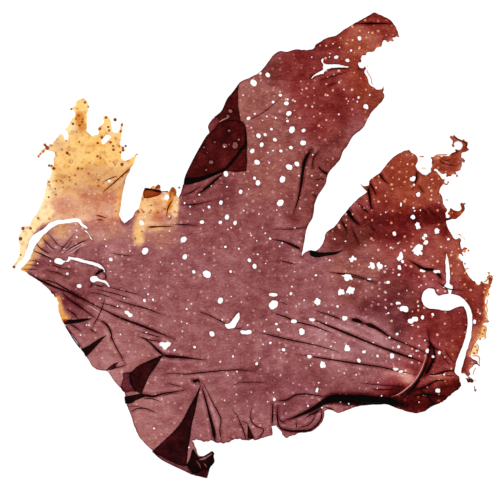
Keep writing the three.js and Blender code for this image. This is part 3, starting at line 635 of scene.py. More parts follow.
SMOOTH_ROUNDS = 22
PUCKER = 0.13
BROAD_PUCKER, NARROW_PUCKER = 5.5, 2.4
FLAT_SHARE = 0.35  # of the puckers is left where the blade lies flat
ruffles = averaged(np.array([cad_height(point) for point in plan]), edges_of(triangles)[0], SMOOTH_ROUNDS)
puckers = PUCKER * (2 + field_noise(plan, BROAD_PUCKER, 11) + field_noise(plan, NARROW_PUCKER, 13))
low = np.maximum(ruffles, 0) + puckers * np.clip(FLAT_SHARE + ruffles, 0, 1)
print("underside from", round(low.min(), 2), "to", round(low.max(), 2), "mm")

# %% [markdown]
# ## Creases
#
# Where the wet film was caught as it was laid down, it stands up in thin creases, and each shows as a
# dark line because the light passes through it twice or three times. A bump map would give the shading
# but not the line. Here each crease is a path with a few widths: the membrane is raised under it now, and
# a thin ridge is swept along it later.

# %% Paths of the creases: widths spread evenly from start to end, then the points
LOWER_LEFT_CREASES = [
    ((0.5, 0.9, 0.6, 0.5, 0.4, 0.7, 0.85, 0.7, 0.4), (-85.6, -10.4, -81, -13, -77, -15, -69, -18.2,
     -64, -20.6, -57, -24.2, -50, -27.6, -43, -30.2, -36, -33, -29.3, -35.7)),
    ((0.3, 0.55, 0.2), (-72.6, -17.5, -70, -20.4, -66, -23, -62, -26, -59, -28)),
    ((0.3, 0.5, 0.3), (-59, -28, -55.8, -29.6, -54, -32.5, -53.6, -35, -51.8, -39, -50, -42, -48.5, -45.4)),
    ((0.2, 0.5, 0.2), (-58, -28.4, -55, -31, -53.9, -34, -54.1, -37)),
    ((0.2, 0.35, 0.4, 0.3), (-56.2, -19.2, -56.9, -22.6, -58.8, -27, -61.1, -31)),
    ((0.4, 0.4, 0.2), (-61.9, -31.8, -60.6, -32.6, -59.4, -33.4)),
    ((0.2, 0.5, 0.2), (-71, -24, -68, -26, -65.6, -29)),
    ((0.3, 0.5, 0.2), (-69.6, -30, -67.4, -31, -65.4, -32.8)),
    ((0.9, 1.2, 0.5), (-56.5, -9.4, -58.4, -10.1, -60, -11.4)),
    ((0.4, 0.6, 0.3), (-56.2, -10.5, -55.7, -11.8, -56, -13)),
    ((0.3, 0.6, 0.3), (-60, -14.7, -58, -15.4, -56, -15.2)),
    ((0.3, 0.5, 0.3), (-62, -15.8, -61.2, -15.2, -61, -14.2)),
    ((0.2, 0.4, 0.2), (-54.7, -15.8, -49, -17.2, -42.9, -18.8)),
    ((0.2, 0.4, 0.3), (-60.3, -16.4, -55, -17.6, -51.3, -18.6, -46.7, -19.9)),
    ((0.2, 0.35, 0.5, 0.4, 0.2), (-53, -20.4, -45.9, -22.5, -40.4, -24, -33.6, -26.6)),
    ((0.2, 0.4, 0.2), (-62.2, -17.6, -57.2, -18.6, -52.9, -20.1)),
    ((0.2, 0.4, 0.2), (-58.3, -21.7, -53.7, -22.8, -49, -24.4)),
    ((0.2, 0.4, 0.4), (-43.5, -32.6, -39, -33.8, -35, -34.9)),
    ((0.2, 0.45, 0.4), (-43.5, -34.4, -39.7, -35.7, -35, -36.4)),
    ((0.2, 0.4, 0.3), (-53, -46.4, -50.6, -46.1, -48.6, -45.5)),
    ((1.2, 1.2, 0.9, 0.5, 0.3), (-34.4, -41.4, -32, -42, -28, -42.3, -23, -42.9, -18, -43.6)),
    ((0.2, 0.5, 0.8, 1.1), (-43.5, -34.4, -39.6, -36.4, -36.2, -39.6, -34, -41.6)),
    ((0.2, 0.3, 0.5, 0.5, 0.4, 0.2), (-35.4, -49.1, -29.8, -48.5, -25.8, -48.9, -14.3, -47.7, -6, -47.2,
     1, -47.8)),
    ((0.2, 0.4, 0.2), (-21, -24.8, -16, -26.8, -10.8, -29.5)),
    ((0.2, 0.35, 0.2), (-32.4, -52.3, -29, -53.2, -26, -54.2)),
    ((0.3, 0.5, 0.2), (-46.6, -63.3, -44, -62, -41, -61.9, -36, -63.9)),
    ((0.2, 0.35, 0.2), (-47.6, -61.2, -44.6, -61, -42, -61.6)),
    ((0.3, 0.45, 0.2), (-41.6, -58.2, -38.4, -58.2, -35, -59.3)),
    ((1.1, 0.6, 0.25), (-42, -56.6, -38, -57.3, -34, -56.2, -30, -55.6, -25, -54.8)),
    ((0.2, 0.3, 0.2), (-34.6, -57, -31, -56.2, -28, -56)),
    ((0.7, 1.3, 1.0, 0.5), (-23, -51, -22, -51.6, -20.9, -51, -20.3, -52.2)),
    ((0.5, 0.45, 0.4), (-65.2, -39.6, -68, -35.8, -70.4, -32, -71.8, -29.8)),
]
FOOT_PLEATS = [
    ((0.4, 0.9, 1.5), (-19.6, -53, -17.5, -60, -16, -66, -15, -70, -14.4, -74.3)),
    ((0.25, 0.45, 0.4), (-19.6, -51, -17, -56, -15, -60, -12.2, -65.6, -12.6, -70, -11.9, -74.6)),
    ((0.15, 0.25, 0.15), (-19, -55, -17.6, -59, -17.4, -62)),
]
BOTTOM_CREASES = [
    ((0.4, 0.55, 0.45, 0.4), (9.4, -59, 13, -58.6, 15.6, -57, 18.4, -56.4, 23, -56.7, 28, -57.8)),
    ((0.4, 0.55, 0.5), (7.5, -59.9, 7.5, -64, 7.2, -68)),
    ((0.5, 0.6, 0.5, 0.7, 0.75, 0.6, 0.5, 0.6, 0.7), (9.3, -61.3, 9.2, -64, 9.6, -67.6, 10.9, -69.5,
     14, -70.4, 17.5, -70.4, 22, -69.8, 24.4, -67.8, 26, -65.4, 26, -62)),
    ((0.3, 0.5, 0.7, 1), (19.6, -65.8, 21.7, -64.2, 23.8, -63.4, 25.2, -62.3)),
    ((0.3, 0.4, 0.3), (17.5, -69.1, 21, -68.1, 23.1, -65.8, 23.8, -64.4)),
    ((0.2, 0.45, 0.2), (9.6, -65, 10.5, -66.5, 12.6, -68)),
    ((0.3, 0.5, 0.4), (27.2, -61.4, 29.2, -61.8, 30.6, -62.6)),
    ((0.3, 0.45, 0.3), (38.2, -59, 39.2, -60, 39.8, -60.8)),
    ((0.2, 0.4, 0.4), (-0.2, -61.4, -1.1, -64.5, 0, -67.6, 2, -69, 4, -69.9, 2.2, -73.4)),
    ((0.2, 0.4, 0.4), (-7.8, -62.4, -6, -64.6, -4.8, -67.6, -3.8, -69.8, -2.6, -74)),
    ((0.2, 0.3, 0.2), (-4.4, -66.6, -2, -67.6)),
    ((0.3, 0.4, 0.3), (16.3, -66.5, 16.6, -69.3)),
    ((0.2, 0.35, 0.3), (41.5, -52.3, 49, -53, 57, -53.5)),
    ((0.2, 0.45, 0.3), (45, -54.5, 49, -54.7, 53.4, -54.4)),
    ((0.2, 0.3, 0.2), (-8.2, -53.4, -5, -52, 4, -52)),
]
CENTRE_CREASES = [
    ((0.2, 0.5, 0.5, 0.35, 0.2), (0.9, -32.6, 12.1, -35.4, 25.3, -38.2, 34, -41)),
    ((0.3, 0.5, 0.5, 0.55, 0.45, 0.3), (7, -25.3, 10.8, -26.6, 12.7, -27.2, 15.6, -28.7, 19, -29.6,
     23.4, -30.7, 27.3, -32.2, 31, -33.4)),
    ((0.2, 0.3, 0.2), (10.3, -21.2, 13.2, -22.6)),
    ((0.2, 0.5, 0.2), (-14, -28, -12.2, -28.6, -10.6, -29.8)),
    ((0.2, 0.4, 0.2), (-7, -31.6, -5.4, -31.6, -3.6, -31)),
    ((0.2, 0.4, 0.2), (30, -10.2, 37.5, -11, 41, -12, 44, -13.2, 47, -14)),
    ((0.4, 0.4, 0.8, 0.95, 0.8, 0.75, 0.85, 0.7, 0.5), (18, -27.8, 23.4, -28.4, 28.9, -30.6, 36.7, -33.7,
     43.7, -36.6, 53.8, -40.5, 59.9, -42.6, 65.3, -44.6)),
    ((0.2, 0.4, 0.5, 0.6), (24.3, -24.9, 28.4, -26.2, 33.2, -27.9)),
    ((1.0, 1.5, 1.0), (37.3, -27.9, 39.4, -28.4, 41.4, -29.2)),
    ((0.8, 1.6, 1.2, 0.8, 0.6, 0.45, 0.4, 0.4, 0.4), (41, -29.2, 43.7, -30, 46, -31, 48.3, -32.3, 52.3, -35,
     57, -37, 62.4, -39.3, 66.4, -41)),
    ((0.2, 0.5, 0.55, 0.6, 0.55, 0.5, 0.4), (15.8, -41.2, 25, -42.6, 30.8, -43.5, 40.6, -45, 48.3, -46,
     56.2, -47.8, 62.6, -49)),
    ((0.3, 0.5, 0.4), (64.9, -35.2, 66.7, -36.6, 68.2, -38.3, 71.2, -40)),
    ((0.4, 0.6, 0.7, 0.3), (66.4, -48.9, 69.6, -48.8, 73.2, -47.8, 76.6, -47.4)),
    ((0.2, 0.35, 0.3), (71, -48.6, 74, -49.4, 77.6, -49.6)),
    ((0.2, 0.35, 0.2), (72.8, -39.5, 74.4, -42, 76.8, -44.6)),
    ((0.2, 0.3, 0.2), (70.4, -39.4, 72.4, -42.4, 75, -45.6)),
    ((0.4, 0.7, 0.6, 0.3), (60.6, -55, 65.6, -53.4, 69.4, -51.4, 74, -51.2)),
    ((0.4, 0.6, 0.3), (61, -56.8, 66, -56.4, 72.6, -57.4)),
    ((0.3, 0.5, 0.2), (63.4, -54.8, 66.4, -57.4, 68.6, -60)),
    ((0.3, 0.5, 0.2), (70, -13.6, 74, -16.4, 80, -17)),
    ((0.2, 0.4, 0.2), (28, -9.9, 37, -11.6, 46.7, -14.2)),
    ((0.2, 0.4, 0.2), (10.6, -5.8, 16.2, -7.2)),
    ((0.2, 0.4, 0.2), (7.6, 6.3, 14, 6.2, 20.6, 6.9)),
    ((0.3, 0.6, 1.2), (7, 2.4, 12, 1.4, 18.2, -1.4)),
    ((0.2, 0.4, 0.2), (-53.7, -2.9, -50, -3.6, -46, -4)),
    ((0.2, 0.35, 0.4, 0.4, 0.5, 0.7, 0.9, 1.1, 0.9), (66.4, -31, 66.8, -34.5, 67.2, -37, 66.8, -41,
     66.1, -44.2, 64.6, -47.6, 62.8, -50.8, 60.8, -53.6, 58.8, -55.8)),
    ((0.3, 0.6, 0.8, 0.9, 0.8), (67.4, -36.6, 68.6, -39, 69, -41.4, 68.2, -44.2, 66.6, -47, 64.8, -49.6)),
]
UPPER_LOBE_CREASES = [
    ((0.3, 0.9, 1.3), (15.2, 12, 17.1, 17.3, 18.2, 22.7, 19.6, 31.9, 21.9, 36.3)),
    ((0.2, 0.4, 0.3), (25.8, 36.7, 23, 33.3, 22.6, 29.6)),
    ((0.3, 0.6, 0.9), (24.7, 30.4, 26, 28.6, 28.4, 27)),
    ((0.2, 0.4, 0.2), (23.4, 24.9, 27.6, 25.4)),
    ((0.2, 0.4, 0.2), (22, 20, 24.3, 18.3)),
    ((0.3, 0.7, 0.4), (38.8, 84.2, 44, 84.3, 52.4, 84.2)),
    ((0.2, 0.4, 0.2), (25, 62.6, 31, 64.4, 36, 66)),
    ((0.2, 0.3, 0.2), (28, 60.4, 32, 61.8)),
    ((0.3, 0.5, 0.3), (28, 66.9, 32, 67.2, 36, 67.2)),
    ((0.3, 0.45, 0.6), (-12.5, 46.2, -10.8, 47, -7.3, 47.4, -4, 46.4)),
    ((0.2, 0.45, 0.2), (-26.8, 18.8, -23, 20.5, -19.8, 22.7)),
    ((0.4, 0.9, 0.8, 0.5), (-20.8, 19.6, -17, 22.4, -12.6, 26.4, -11, 27.6)),
    ((0.2, 0.4, 0.2), (-26.8, 15.7, -22, 15.6, -15.5, 17.2)),
    ((0.25, 0.45, 0.2), (-30.4, 8.1, -26, 7.9, -21, 7.7)),
]
LEFT_LOBE_CREASES = [
    ((0.5, 0.5, 0.2), (-46.4, 29.5, -50, 26.3, -54, 22.7, -57.8, 19.5)),
    ((0.3, 0.4, 0.2), (-51.4, 26.5, -54.2, 25.4, -57, 24)),
    ((0.3, 0.5, 0.3), (-59.8, 11.6, -57.6, 11.1, -55.4, 10.4)),
    ((0.3, 0.5, 0.2), (-59.2, 9.9, -56.6, 9.6)),
    ((0.9, 0.5, 0.3), (-40, 7, -35, 7.2, -30.5, 7.3)),
    ((0.4, 0.5, 0.3), (-83.4, -2, -80.6, -3.2, -77.6, -4.6, -76, -5.4)),
    ((0.4, 0.45, 0.3), (-82.4, 0.8, -81, -0.8, -79.6, -1.8, -77.6, -2.8)),
    ((0.3, 0.4, 0.2), (-80, 3, -78.6, 1.2, -77, -0.6, -75.4, -1.6)),
    ((0.2, 0.35, 0.25, 0.2), (-74.4, -3.4, -72.4, -1, -70.2, 1.6, -67.8, 4.6)),
    ((0.25, 0.4, 0.4, 0.3), (-73, -3.6, -70.4, -2, -68, -0.3, -65.4, 1.1, -62.8, 2.2)),
    ((0.2, 0.4, 0.2), (-67.6, -3.8, -66.8, -1.8, -65.2, -0.4)),
    ((0.2, 0.3, 0.2), (-72.4, -1.8, -70, -0.2, -68.6, 2)),
    ((0.2, 0.35, 0.2), (-79, -9.4, -74, -10.4, -69.6, -12.6)),
    ((0.2, 0.3, 0.2), (-76.4, -7.2, -72.6, -8.6, -69, -9)),
    ((0.3, 0.6, 0.4), (-79.6, -12.9, -75.4, -14, -71.4, -16.2, -67, -18.6)),
    ((0.2, 0.3, 0.2), (-77.6, 4.4, -75.6, 2, -74, 0.2, -71.4, -0.8)),
    ((0.3, 0.35, 0.2), (-87.6, -9, -84.6, -9, -82, -9.2)),
    ((0.2, 0.3, 0.2), (-85.4, -5.8, -83.2, -5.8, -81, -6.2)),
    ((0.2, 0.3, 0.2), (-86.4, -7.4, -84, -7.4, -81.4, -7.8)),
    ((0.4, 0.5, 0.3), (-30.6, 17.2, -31.8, 15.4, -32.6, 13, -32.8, 11)),
    ((0.2, 0.3, 0.2), (-32.8, 10.2, -31.6, 10, -31, 11.4)),
]
RIGHT_LOBE_CREASES = [
    ((0.3, 1.0, 1.8), (40.8, 7.6, 38.4, 9.6, 35.8, 13.4)),
    ((0.4, 0.7, 0.2), (33.4, 9.6, 34.8, 7.4, 35.9, 5.2)),
    ((0.2, 0.4, 0.2), (37.4, 6.8, 38.8, 3.6, 40.5, 0.2)),
    ((0.3, 0.6, 0.2), (39.8, 16.4, 42, 14, 44.4, 11.9)),
    ((1.1, 0.8, 0.3), (43.8, 22, 44.2, 19, 44.8, 15, 45.8, 12.6)),
    ((0.8, 0.6, 0.2), (44.5, 23.6, 45.6, 21.6, 46.9, 19)),
    ((0.9, 0.6, 0.2), (48, 27, 49.8, 24.8, 51.6, 23.4)),
    ((0.2, 0.4, 0.2), (44.4, 7.6, 46.6, 5.2)),
    ((0.4, 0.7, 0.3), (62.1, 28.4, 61.9, 25, 60.4, 21.6)),
    ((0.2, 0.35, 0.2), (62.6, 23.2, 64.8, 20)),
    ((0.2, 0.35, 0.2), (64, 14, 66.4, 11.6)),
    ((0.2, 0.35, 0.2), (66.4, 14.2, 69, 11.6)),
    ((0.3, 1.2, 0.9), (59.2, -5.6, 62, -7.2, 65, -8.9, 68.4, -9.3, 70.4, -11, 71.8, -12.8)),
]
ROLLED_MARGIN = [
    ((0.5, 0.8, 1.0, 1.5, 1.9, 2.8, 2.7, 2.5, 2.9, 2.4, 2.6, 2, 1.2), (11, -66.8, 15, -65.5, 18.4, -64.1,
     21.6, -62.6, 24.4, -61, 27.4, -59.2, 31, -58.1, 35, -58, 40, -58.1, 45, -58.5, 50, -58.8, 54, -59.5,
     58, -60.4)),
]
CREASES = (
    ROLLED_MARGIN + LOWER_LEFT_CREASES + FOOT_PLEATS + BOTTOM_CREASES + CENTRE_CREASES
    + UPPER_LOBE_CREASES + LEFT_LOBE_CREASES + RIGHT_LOBE_CREASES
)
print(len(CREASES), "creases")

# %% Raise the membrane under the creases, and paint shade beside them and highlight beyond
CREASE_FLANK, CREASE_RISE = 0.8, 0.4  # how far beside it the membrane rises, and how high for its width
DARK_SIDE, DARK_REACH = 0.32, 0.4  # painted shade: more pigment right beside it
PALE_SIDE, PALE_PLACE, PALE_REACH = 0.15, 1.1, 0.5  # painted highlight: less pigment beyond that
FULL_WIDTH, MOST_STRENGTH = 0.6, 1.4
CREASE_SHADING_RANGE = (0.7, 2.4)


def crease_width(widths, along):
    """The width of a crease at each share of its length, with its widths spread evenly over it."""
    return np.interp(along, np.linspace(0, 1, len(widths)), widths)


def bell(distance, reach):
    """1 at no distance, and almost nothing at twice the reach."""
    return np.exp(-((distance / reach) ** 2))


def crease_effect(points):
    """How far the creases raise the membrane at each plan point, and a factor on the pigment for the painted
    shade beside them and the painted highlight beyond.
    """
    rise, crease_shading = np.zeros(len(points)), np.ones(len(points))
    for widths, path in CREASES:
        gap, along = distance_to(points, path)
        width = crease_width(widths, along)
        rise = np.maximum(rise, CREASE_RISE * width * bell(gap, CREASE_FLANK + width / 2))
        strength = np.minimum(width / FULL_WIDTH, MOST_STRENGTH)
        crease_shading += strength * DARK_SIDE * bell(gap, DARK_REACH + width / 2)
        crease_shading -= strength * PALE_SIDE * bell(gap - PALE_PLACE - width / 2, PALE_REACH)
    return rise, np.clip(crease_shading, *CREASE_SHADING_RANGE)


rise, crease_shading = crease_effect(plan)
low += rise

# %% [markdown]
# ## Two pigments
#
# Laver is coloured by a purple-red pigment, which fades in strong light, and a yellow-brown one, which
# stays. Mixing two paints would turn muddy. A stained film takes away a share of each colour for every
# layer that the light passes, which is the Beer-Lambert law: colour = exp(-(amount x absorbance)). With
# it one pair of numbers gives every colour of the blade, from straw to plum, and a double layer needs
# no colour of its own, just twice the amounts.

# %% Amounts of pigment over the blade: a line, where the zone is full, where it ends, purple, yellow
PLAIN = (1.02, 0.28)
ZONES = [  # a later zone lies over the earlier ones
    # The middle
    ((-22, 16, 2, 10), 8, 22, 1.08, 0.38),
    ((2, -22, 6, -2, 16, 8), 4, 11, 1.15, 0.33),
    ((-22, 19, -12, 21), 3, 8, 1.34, 0.36),
    # The upper lobe
    ((0, 58, 4, 46, 8, 30), 7, 20, 0.98, 0.54),
    ((22, 62, 30, 52, 28, 40, 24, 28, 21, 14), 4, 12, 1.27, 0.58),
    ((28, 61, 33, 50), 1.5, 6, 1.4, 0.68),
    ((15, 51, 12, 41), 1.5, 5, 1.12, 0.56),
    ((8, 66, 16, 70, 26, 74), 2, 7, 1.38, 0.68),
    ((34, 78, 38, 83, 50, 84), 3, 8, 1.25, 0.95),
    ((38, 68, 44, 58, 46, 54), 2.5, 9, 1.15, 1.2),
    ((39, 78, 45, 76), 3, 8, 0.84, 0.92),
    # The right lobe
    ((36, 4, 48, 7, 66, 8), 4, 12, 1.58, 0.8),
    ((48, 24, 56, 20), 4, 11, 1.12, 1.12),
    ((58, 31, 63, 22, 70, 26), 4, 11, 0.93, 1.25),
    ((66, 11, 70, 9), 2, 6, 1.62, 1.1),
    ((44, 9.4, 56, 9.6, 66, 10.6, 73, 12), 0.9, 3.2, 1.85, 0.95),
    ((46, -6, 58, -6, 66, -4), 4, 10, 0.98, 0.55),
    ((34, -9, 42, -10), 3, 9, 0.98, 0.56),
    ((74.6, 10, 74.6, 2), 1.5, 4, 1.6, 1.15),
    ((66, 2, 70, -6), 3, 8, 1.06, 0.66),
    ((75, -1, 79, -9), 3, 7, 0.92, 0.84),
    ((36, -17, 49, -16), 3, 8, 1.16, 0.46),
    ((56, -13, 57, -20, 62, -24), 3, 10, 1.44, 0.52),
    ((84, -14, 85, -27), 3, 8, 1.26, 0.98),
    ((46, -25, 51, -27.4, 58, -30), 3, 8, 1.62, 0.36),
    ((66, -29, 77, -32), 4, 10, 1.38, 0.64),
    ((28, -37, 44, -34), 4, 12, 0.86, 0.22),
    ((78, -38, 77, -46), 2, 7, 1.25, 1.0),
    ((62, -36, 60, -42), 3, 8, 1.15, 0.4),
    ((70, -45, 65, -52), 3, 9, 1.36, 0.55),
    ((51, -50.6, 58, -50), 1.5, 4.5, 0.44, 0.42),
    ((70, -51, 76, -50.6), 1.2, 4, 0.92, 0.8),
    ((67.6, -39, 68, -43, 66, -47), 0.5, 1.8, 2.3, 0.8),
    ((84.6, -33, 82.6, -40), 1.2, 4, 0.66, 0.82),
    # The lower margin and the lower left
    ((22, -50, 34, -56, 52, -54), 2, 7, 1.18, 0.3),
    ((2, -52, 14, -58, 16, -66), 5, 12, 1.22, 0.26),
    ((-54, -36, -46, -42), 4, 12, 0.89, 0.32),
    ((-58, -44, -52, -50), 2, 8, 0.8, 0.26),
    ((-36, -70, -40, -64), 4, 13, 0.86, 0.35),
    ((-78, -13, -68, -15), 2, 7, 1.0, 0.36),
    ((-79, -9.4, -72, -10.6), 1.8, 5.5, 1.2, 0.38),
    ((-64, -18, -66, -26), 3, 8, 1.24, 0.3),
    ((-75, -19.4, -66, -21), 1.2, 4.5, 1.65, 0.28),
    # The rolled margin
    ((30, -58, 44, -58, 56, -58.6), 1.5, 3.4, 2.1, 0.5),
    ((35, -59.5, 44, -59.7, 54, -59.8), 0.6, 1.4, 3.4, 0.9),
    ((56, -57.6, 66, -58.6), 2.5, 6.5, 2.6, 1.2),
    ((72, -56, 77, -54), 1.6, 5, 2.1, 1.2),
    # The bleached left lobe
    ((-74, 6, -58, 5), 2, 7, 0.64, 0.53),
    ((-54, 6, -50, 4), 1.5, 5, 0.6, 0.68),
    ((-52, -1, -49, 0), 2, 6, 0.86, 0.32),
    ((-78, 11, -64, 12), 1.5, 5, 0.2, 0.76),
    ((-58, 12, -53, 11), 1.5, 5, 0.5, 0.8),
    ((-76, 16, -52, 16), 3, 7, 0.3, 0.8),
    ((-74, 23, -66, 22), 3, 8, 0.17, 1.16),
    ((-62, 22, -53, 21), 3, 8, 0.36, 1.16),
    ((-74, 28, -52, 29), 3, 8, 0.17, 1.36),
    ((-70, 36, -52, 38), 5, 10, 0.03, 1.52),
    ((-67, 51, -54, 48), 4, 9, 0.0, 1.3),
    ((-73, 41, -70, 45), 1, 5, 0.0, 1.05),
    ((-60, 27, -55, 25.4), 2, 6, 0.24, 1.35),
    ((-81, 33.4, -76, 38), 3, 6, 0.12, 1.1),
    ((-61.4, 18.6), 0.4, 5, 0.46, 0.9),
    ((-71, 15.6), 0.6, 5, 0.4, 0.76),
    ((-53.6, 17), 0.6, 6, 0.48, 0.9),
    ((-51.4, 12, -50.2, 20), 0.6, 2.6, 0.2, 1.3),
    ((-77.8, 27, -79, 20, -82, 13.4, -85.4, 8.4, -89, 5, -90, -6), 1.3, 4.6, 0.0, 0.85),
    ((-66, 49.4, -65.6, 47, -64.8, 45.4), 0.9, 2.2, 0.16, 2.5),
    ((-44.6, 33.4, -47, 31), 0.6, 2.4, 0.0, 1.3),
    ((-73, 5.6), 1.2, 4.6, 0.35, 1.05),
    ((-79.4, 3.4, -82.6, -0.4), 0.6, 2.4, 0.35, 1.3),
    ((-84.4, -3, -85.2, -6, -87.6, -9), 0.9, 3, 0.14, 1.5),
    ((-82.4, -3, -81.4, 0.4), 0.8, 3, 0.34, 0.85),
    ((-74.4, -20.6, -73.6, -25.6, -71.6, -27.6), 0.8, 2.6, 0.15, 1.9),
    ((-90, -5, -88, 1, -85.4, 6, -82, 10, -78, 13), 2, 3.4, 0.02, 0.9),
    # Worn fringes and scraps
    ((89.4, -16, 88.4, -20, 88.4, -27, 89, -30), 0.4, 1.4, 0.45, 1.5),
    ((88, -29, 87, -33, 84.8, -37), 0.3, 1.6, 0.3, 1.5),
    ((68, 30, 72, 29.6, 76, 31.4), 1.2, 3, 1.15, 1.5),
    ((72, 33, 77, 34.4), 0.8, 2.4, 1.0, 1.6),
    ((80, 39, 80.4, 36.4), 0.5, 1.8, 0.9, 1.8),
    ((76, 40.6, 75.8, 38), 0.5, 1.5, 0.9, 1.8),
    ((75.4, 11.6, 78, 12, 79.8, 14.2), 0.8, 2.4, 1.0, 1.9),
    ((79.8, -1.6, 81, -2), 0.6, 1.6, 0.8, 1.6),
    ((89.6, -12.6, 89.8, -14.6), 0.8, 2, 0.9, 1.5),
]
STRIP_EDGE = [(-26.2, 24), (-27.4, 18.6), (-28.3, 13), (-28.6, 9.4)]
STRIP_FOOT = 9  # below this the strip has no sharp edge
STRIP_FADE = 0.7
STRIP_ZONES = [  # these end at the sharp right edge of the bleached strip
    ((-40, 7, -34, 4), 2, 8, 0.72, 0.58),
    ((-39, 18, -37, 12), 5, 8, 0.1, 1.2),
    ((-33, 18, -31, 13), 1.6, 4.5, 0.2, 1.35),
    ((-41, 9.6, -38, 9.6), 1.5, 4, 0.28, 1.0),
    ((-34, 10, -31, 9), 1.2, 4, 0.62, 0.76),
    ((-42.8, 9.6, -43.6, 4, -43.4, 2), 1.0, 3.4, 0.12, 1.2),
    ((-37, 10.4, -36, 12), 0.6, 2, 0.45, 1.1),
    ((-36.4, 16, -34, 14), 0.8, 3, 0.24, 1.15),
    ((-33.2, 18.3), 0.8, 1.9, 0.0, 0.5),
    ((-31, 19.4, -31.6, 16, -32, 14.6), 0.5, 1.3, 0.2, 2.7),
    ((-28.9, 18, -29.6, 12), 0.5, 1.8, 0.12, 0.95),
    ((-30.4, 21.4, -29.6, 20), 0.4, 1.4, 0.7, 2.2),
    ((-36.2, 22.4), 0.3, 1.2, 1.6, 1.8),
    ((-38.4, 22.2), 0.3, 1.2, 0.2, 2.2),
]
GOLDEN = [BITTEN_TIP, SCRAP_AND_HOOK, RIGHT_FRINGE]  # stretches of the margin that have turned gold
GOLD_REACH = (0.22, 1.32)  # how near to the margin it is full, and where it ends
GOLD_PATCH, GOLD_SHARE, GOLD_CONTRAST = 2.2, 0.35, 1.8  # it is broken into patches of this size
GOLD_LOSS, GOLD_GAIN = 0.6, 0.5  # the share of purple that is lost there, and the yellow that comes up
BLOTCH = 0.45  # the purple that is left in blotches where the blade has bleached
BLOTCHES, BLOTCH_FLOOR = ((1.5, 37, 1), (4, 39, 0.4)), 0.12
PATCHES, PATCH_SHARE, PATCH_LIFT = ((3, 17, 0.7), (7, 19, 0.5)), 0.18, 0.03  # uneven purple
YELLOW_PATCH, YELLOW_SHARE = 4, 0.2  # and uneven yellow
GLOSS_LOSS = 1.09  # the gloss of the film veils its colour a little, so it holds this much more pigment


def pigments(points):
    """Amounts of purple and of yellow in a single layer at each plan point."""
    purple, yellow = (np.full(len(points), amount) for amount in PLAIN)
    edge_x = np.interp(points[:, 1], *np.array(STRIP_EDGE[::-1])[:, ::-1].T)
    left_of_edge = np.clip((edge_x - points[:, 0]) / STRIP_FADE + 0.5, 0, 1)
    left_of_edge[points[:, 1] <= STRIP_FOOT] = 1
    for zones, mask in ((ZONES, 1), (STRIP_ZONES, left_of_edge)):
        for line, near, far, zone_purple, zone_yellow in zones:
            share = near_line(points, line, near, far) * mask
            purple += share * (zone_purple - purple)
            yellow += share * (zone_yellow - yellow)
    for path in GOLDEN:
        gap = distance_to(points, path)[0]
        broken = np.clip(GOLD_SHARE + GOLD_CONTRAST * field_noise(points, GOLD_PATCH, 31), 0, 1)
        share = np.interp(gap, GOLD_REACH, (1, 0)) * broken
        purple *= 1 - GOLD_LOSS * share
        yellow += share * GOLD_GAIN
    blotches = np.clip(added_noise(points, BLOTCHES) - BLOTCH_FLOOR, 0, 1)
    purple += BLOTCH * blotches * np.clip(1 - purple, 0, 1)
    patches = added_noise(points, PATCHES)
    purple = np.maximum(purple * (1 + PATCH_SHARE * patches) + PATCH_LIFT * patches, 0)
    yellow = yellow * (1 - YELLOW_SHARE * field_noise(points, YELLOW_PATCH, 23))
    return GLOSS_LOSS * purple, GLOSS_LOSS * yellow


# the dark rims are partly curled film and partly painted shade along the edges
TORN_RIM, HOLE_RIM, LEAF_RIM = 0.6, 0.15, 0.5
RIM_REACH = 1.15 * RIM_WIDTH
RIM_PATCH, RIM_CONTRAST, RIM_RANGE = 3.5, 1.3, (0.25, 1.8)


def dark_rim(points, all_rings, strength):
    """How much more pigment the edges show, partly for the curl of the film and partly as painted shade along
    the edge: 1 away from them.
    """
    gap = edge_distance(points, all_rings)
    uneven = np.clip(1 + RIM_CONTRAST * field_noise(points, RIM_PATCH, 27), *RIM_RANGE)
    return 1 + strength * uneven * np.clip(1 - gap / RIM_REACH, 0, 1)


torn, pierced = rings[:1 + len(TEARS)], rings[1 + len(TEARS):len(rings) - PINHOLES]
purple, yellow = pigments(plan)
# painted edge shade, with the curl of the film, along the margin, tears and holes
rim = np.maximum(dark_rim(plan, torn, TORN_RIM), dark_rim(plan, pierced, HOLE_RIM))
# painted shade beside the creases and painted highlight beyond, as more and less pigment
purple, yellow = purple * crease_shading, yellow * crease_shading
print("purple", purple.min().round(2), "to", purple.max().round(2))

# %% [markdown]
# ## The membrane as a closed leaf
#
# A single sheet of faces has no thickness and no underside. The leaf gets both faces from the same
# triangles, a fifth of a millimetre apart, which is as thin as still shows as an edge, and a wall along
# every ring.

# %% Build closed leaves
LEAF = 0.2
SHARP = math.radians(50)


def add_object(name, data):
    """An object in the scene for new data."""
    new = bpy.data.objects.new(name, data)
    bpy.context.scene.collection.objects.link(new)
    return new


def add_piece(name, points, edges, faces, **attributes):
    """A piece in metres from points in millimetres, with a number at each point for each attribute."""
    mesh = bpy.data.meshes.new(name)
    mesh.from_pydata((np.asarray(points) * MM).tolist(), edges, faces)
    for label, values in attributes.items():
        mesh.attributes.new(label, "FLOAT", "POINT").data.foreach_set("value", np.asarray(values, "f"))
    return add_object(name, mesh)


def add_leaves(name, points, faces, material, **attributes):
    """A piece of closed leaves, smooth on its faces and sharp along its walls."""
    piece = add_piece(name, points, [], faces.tolist(), **attributes)
    piece.data.shade_smooth()
    piece.data.set_sharp_from_angle(angle=SHARP)
    piece.data.materials.append(material)
    return piece


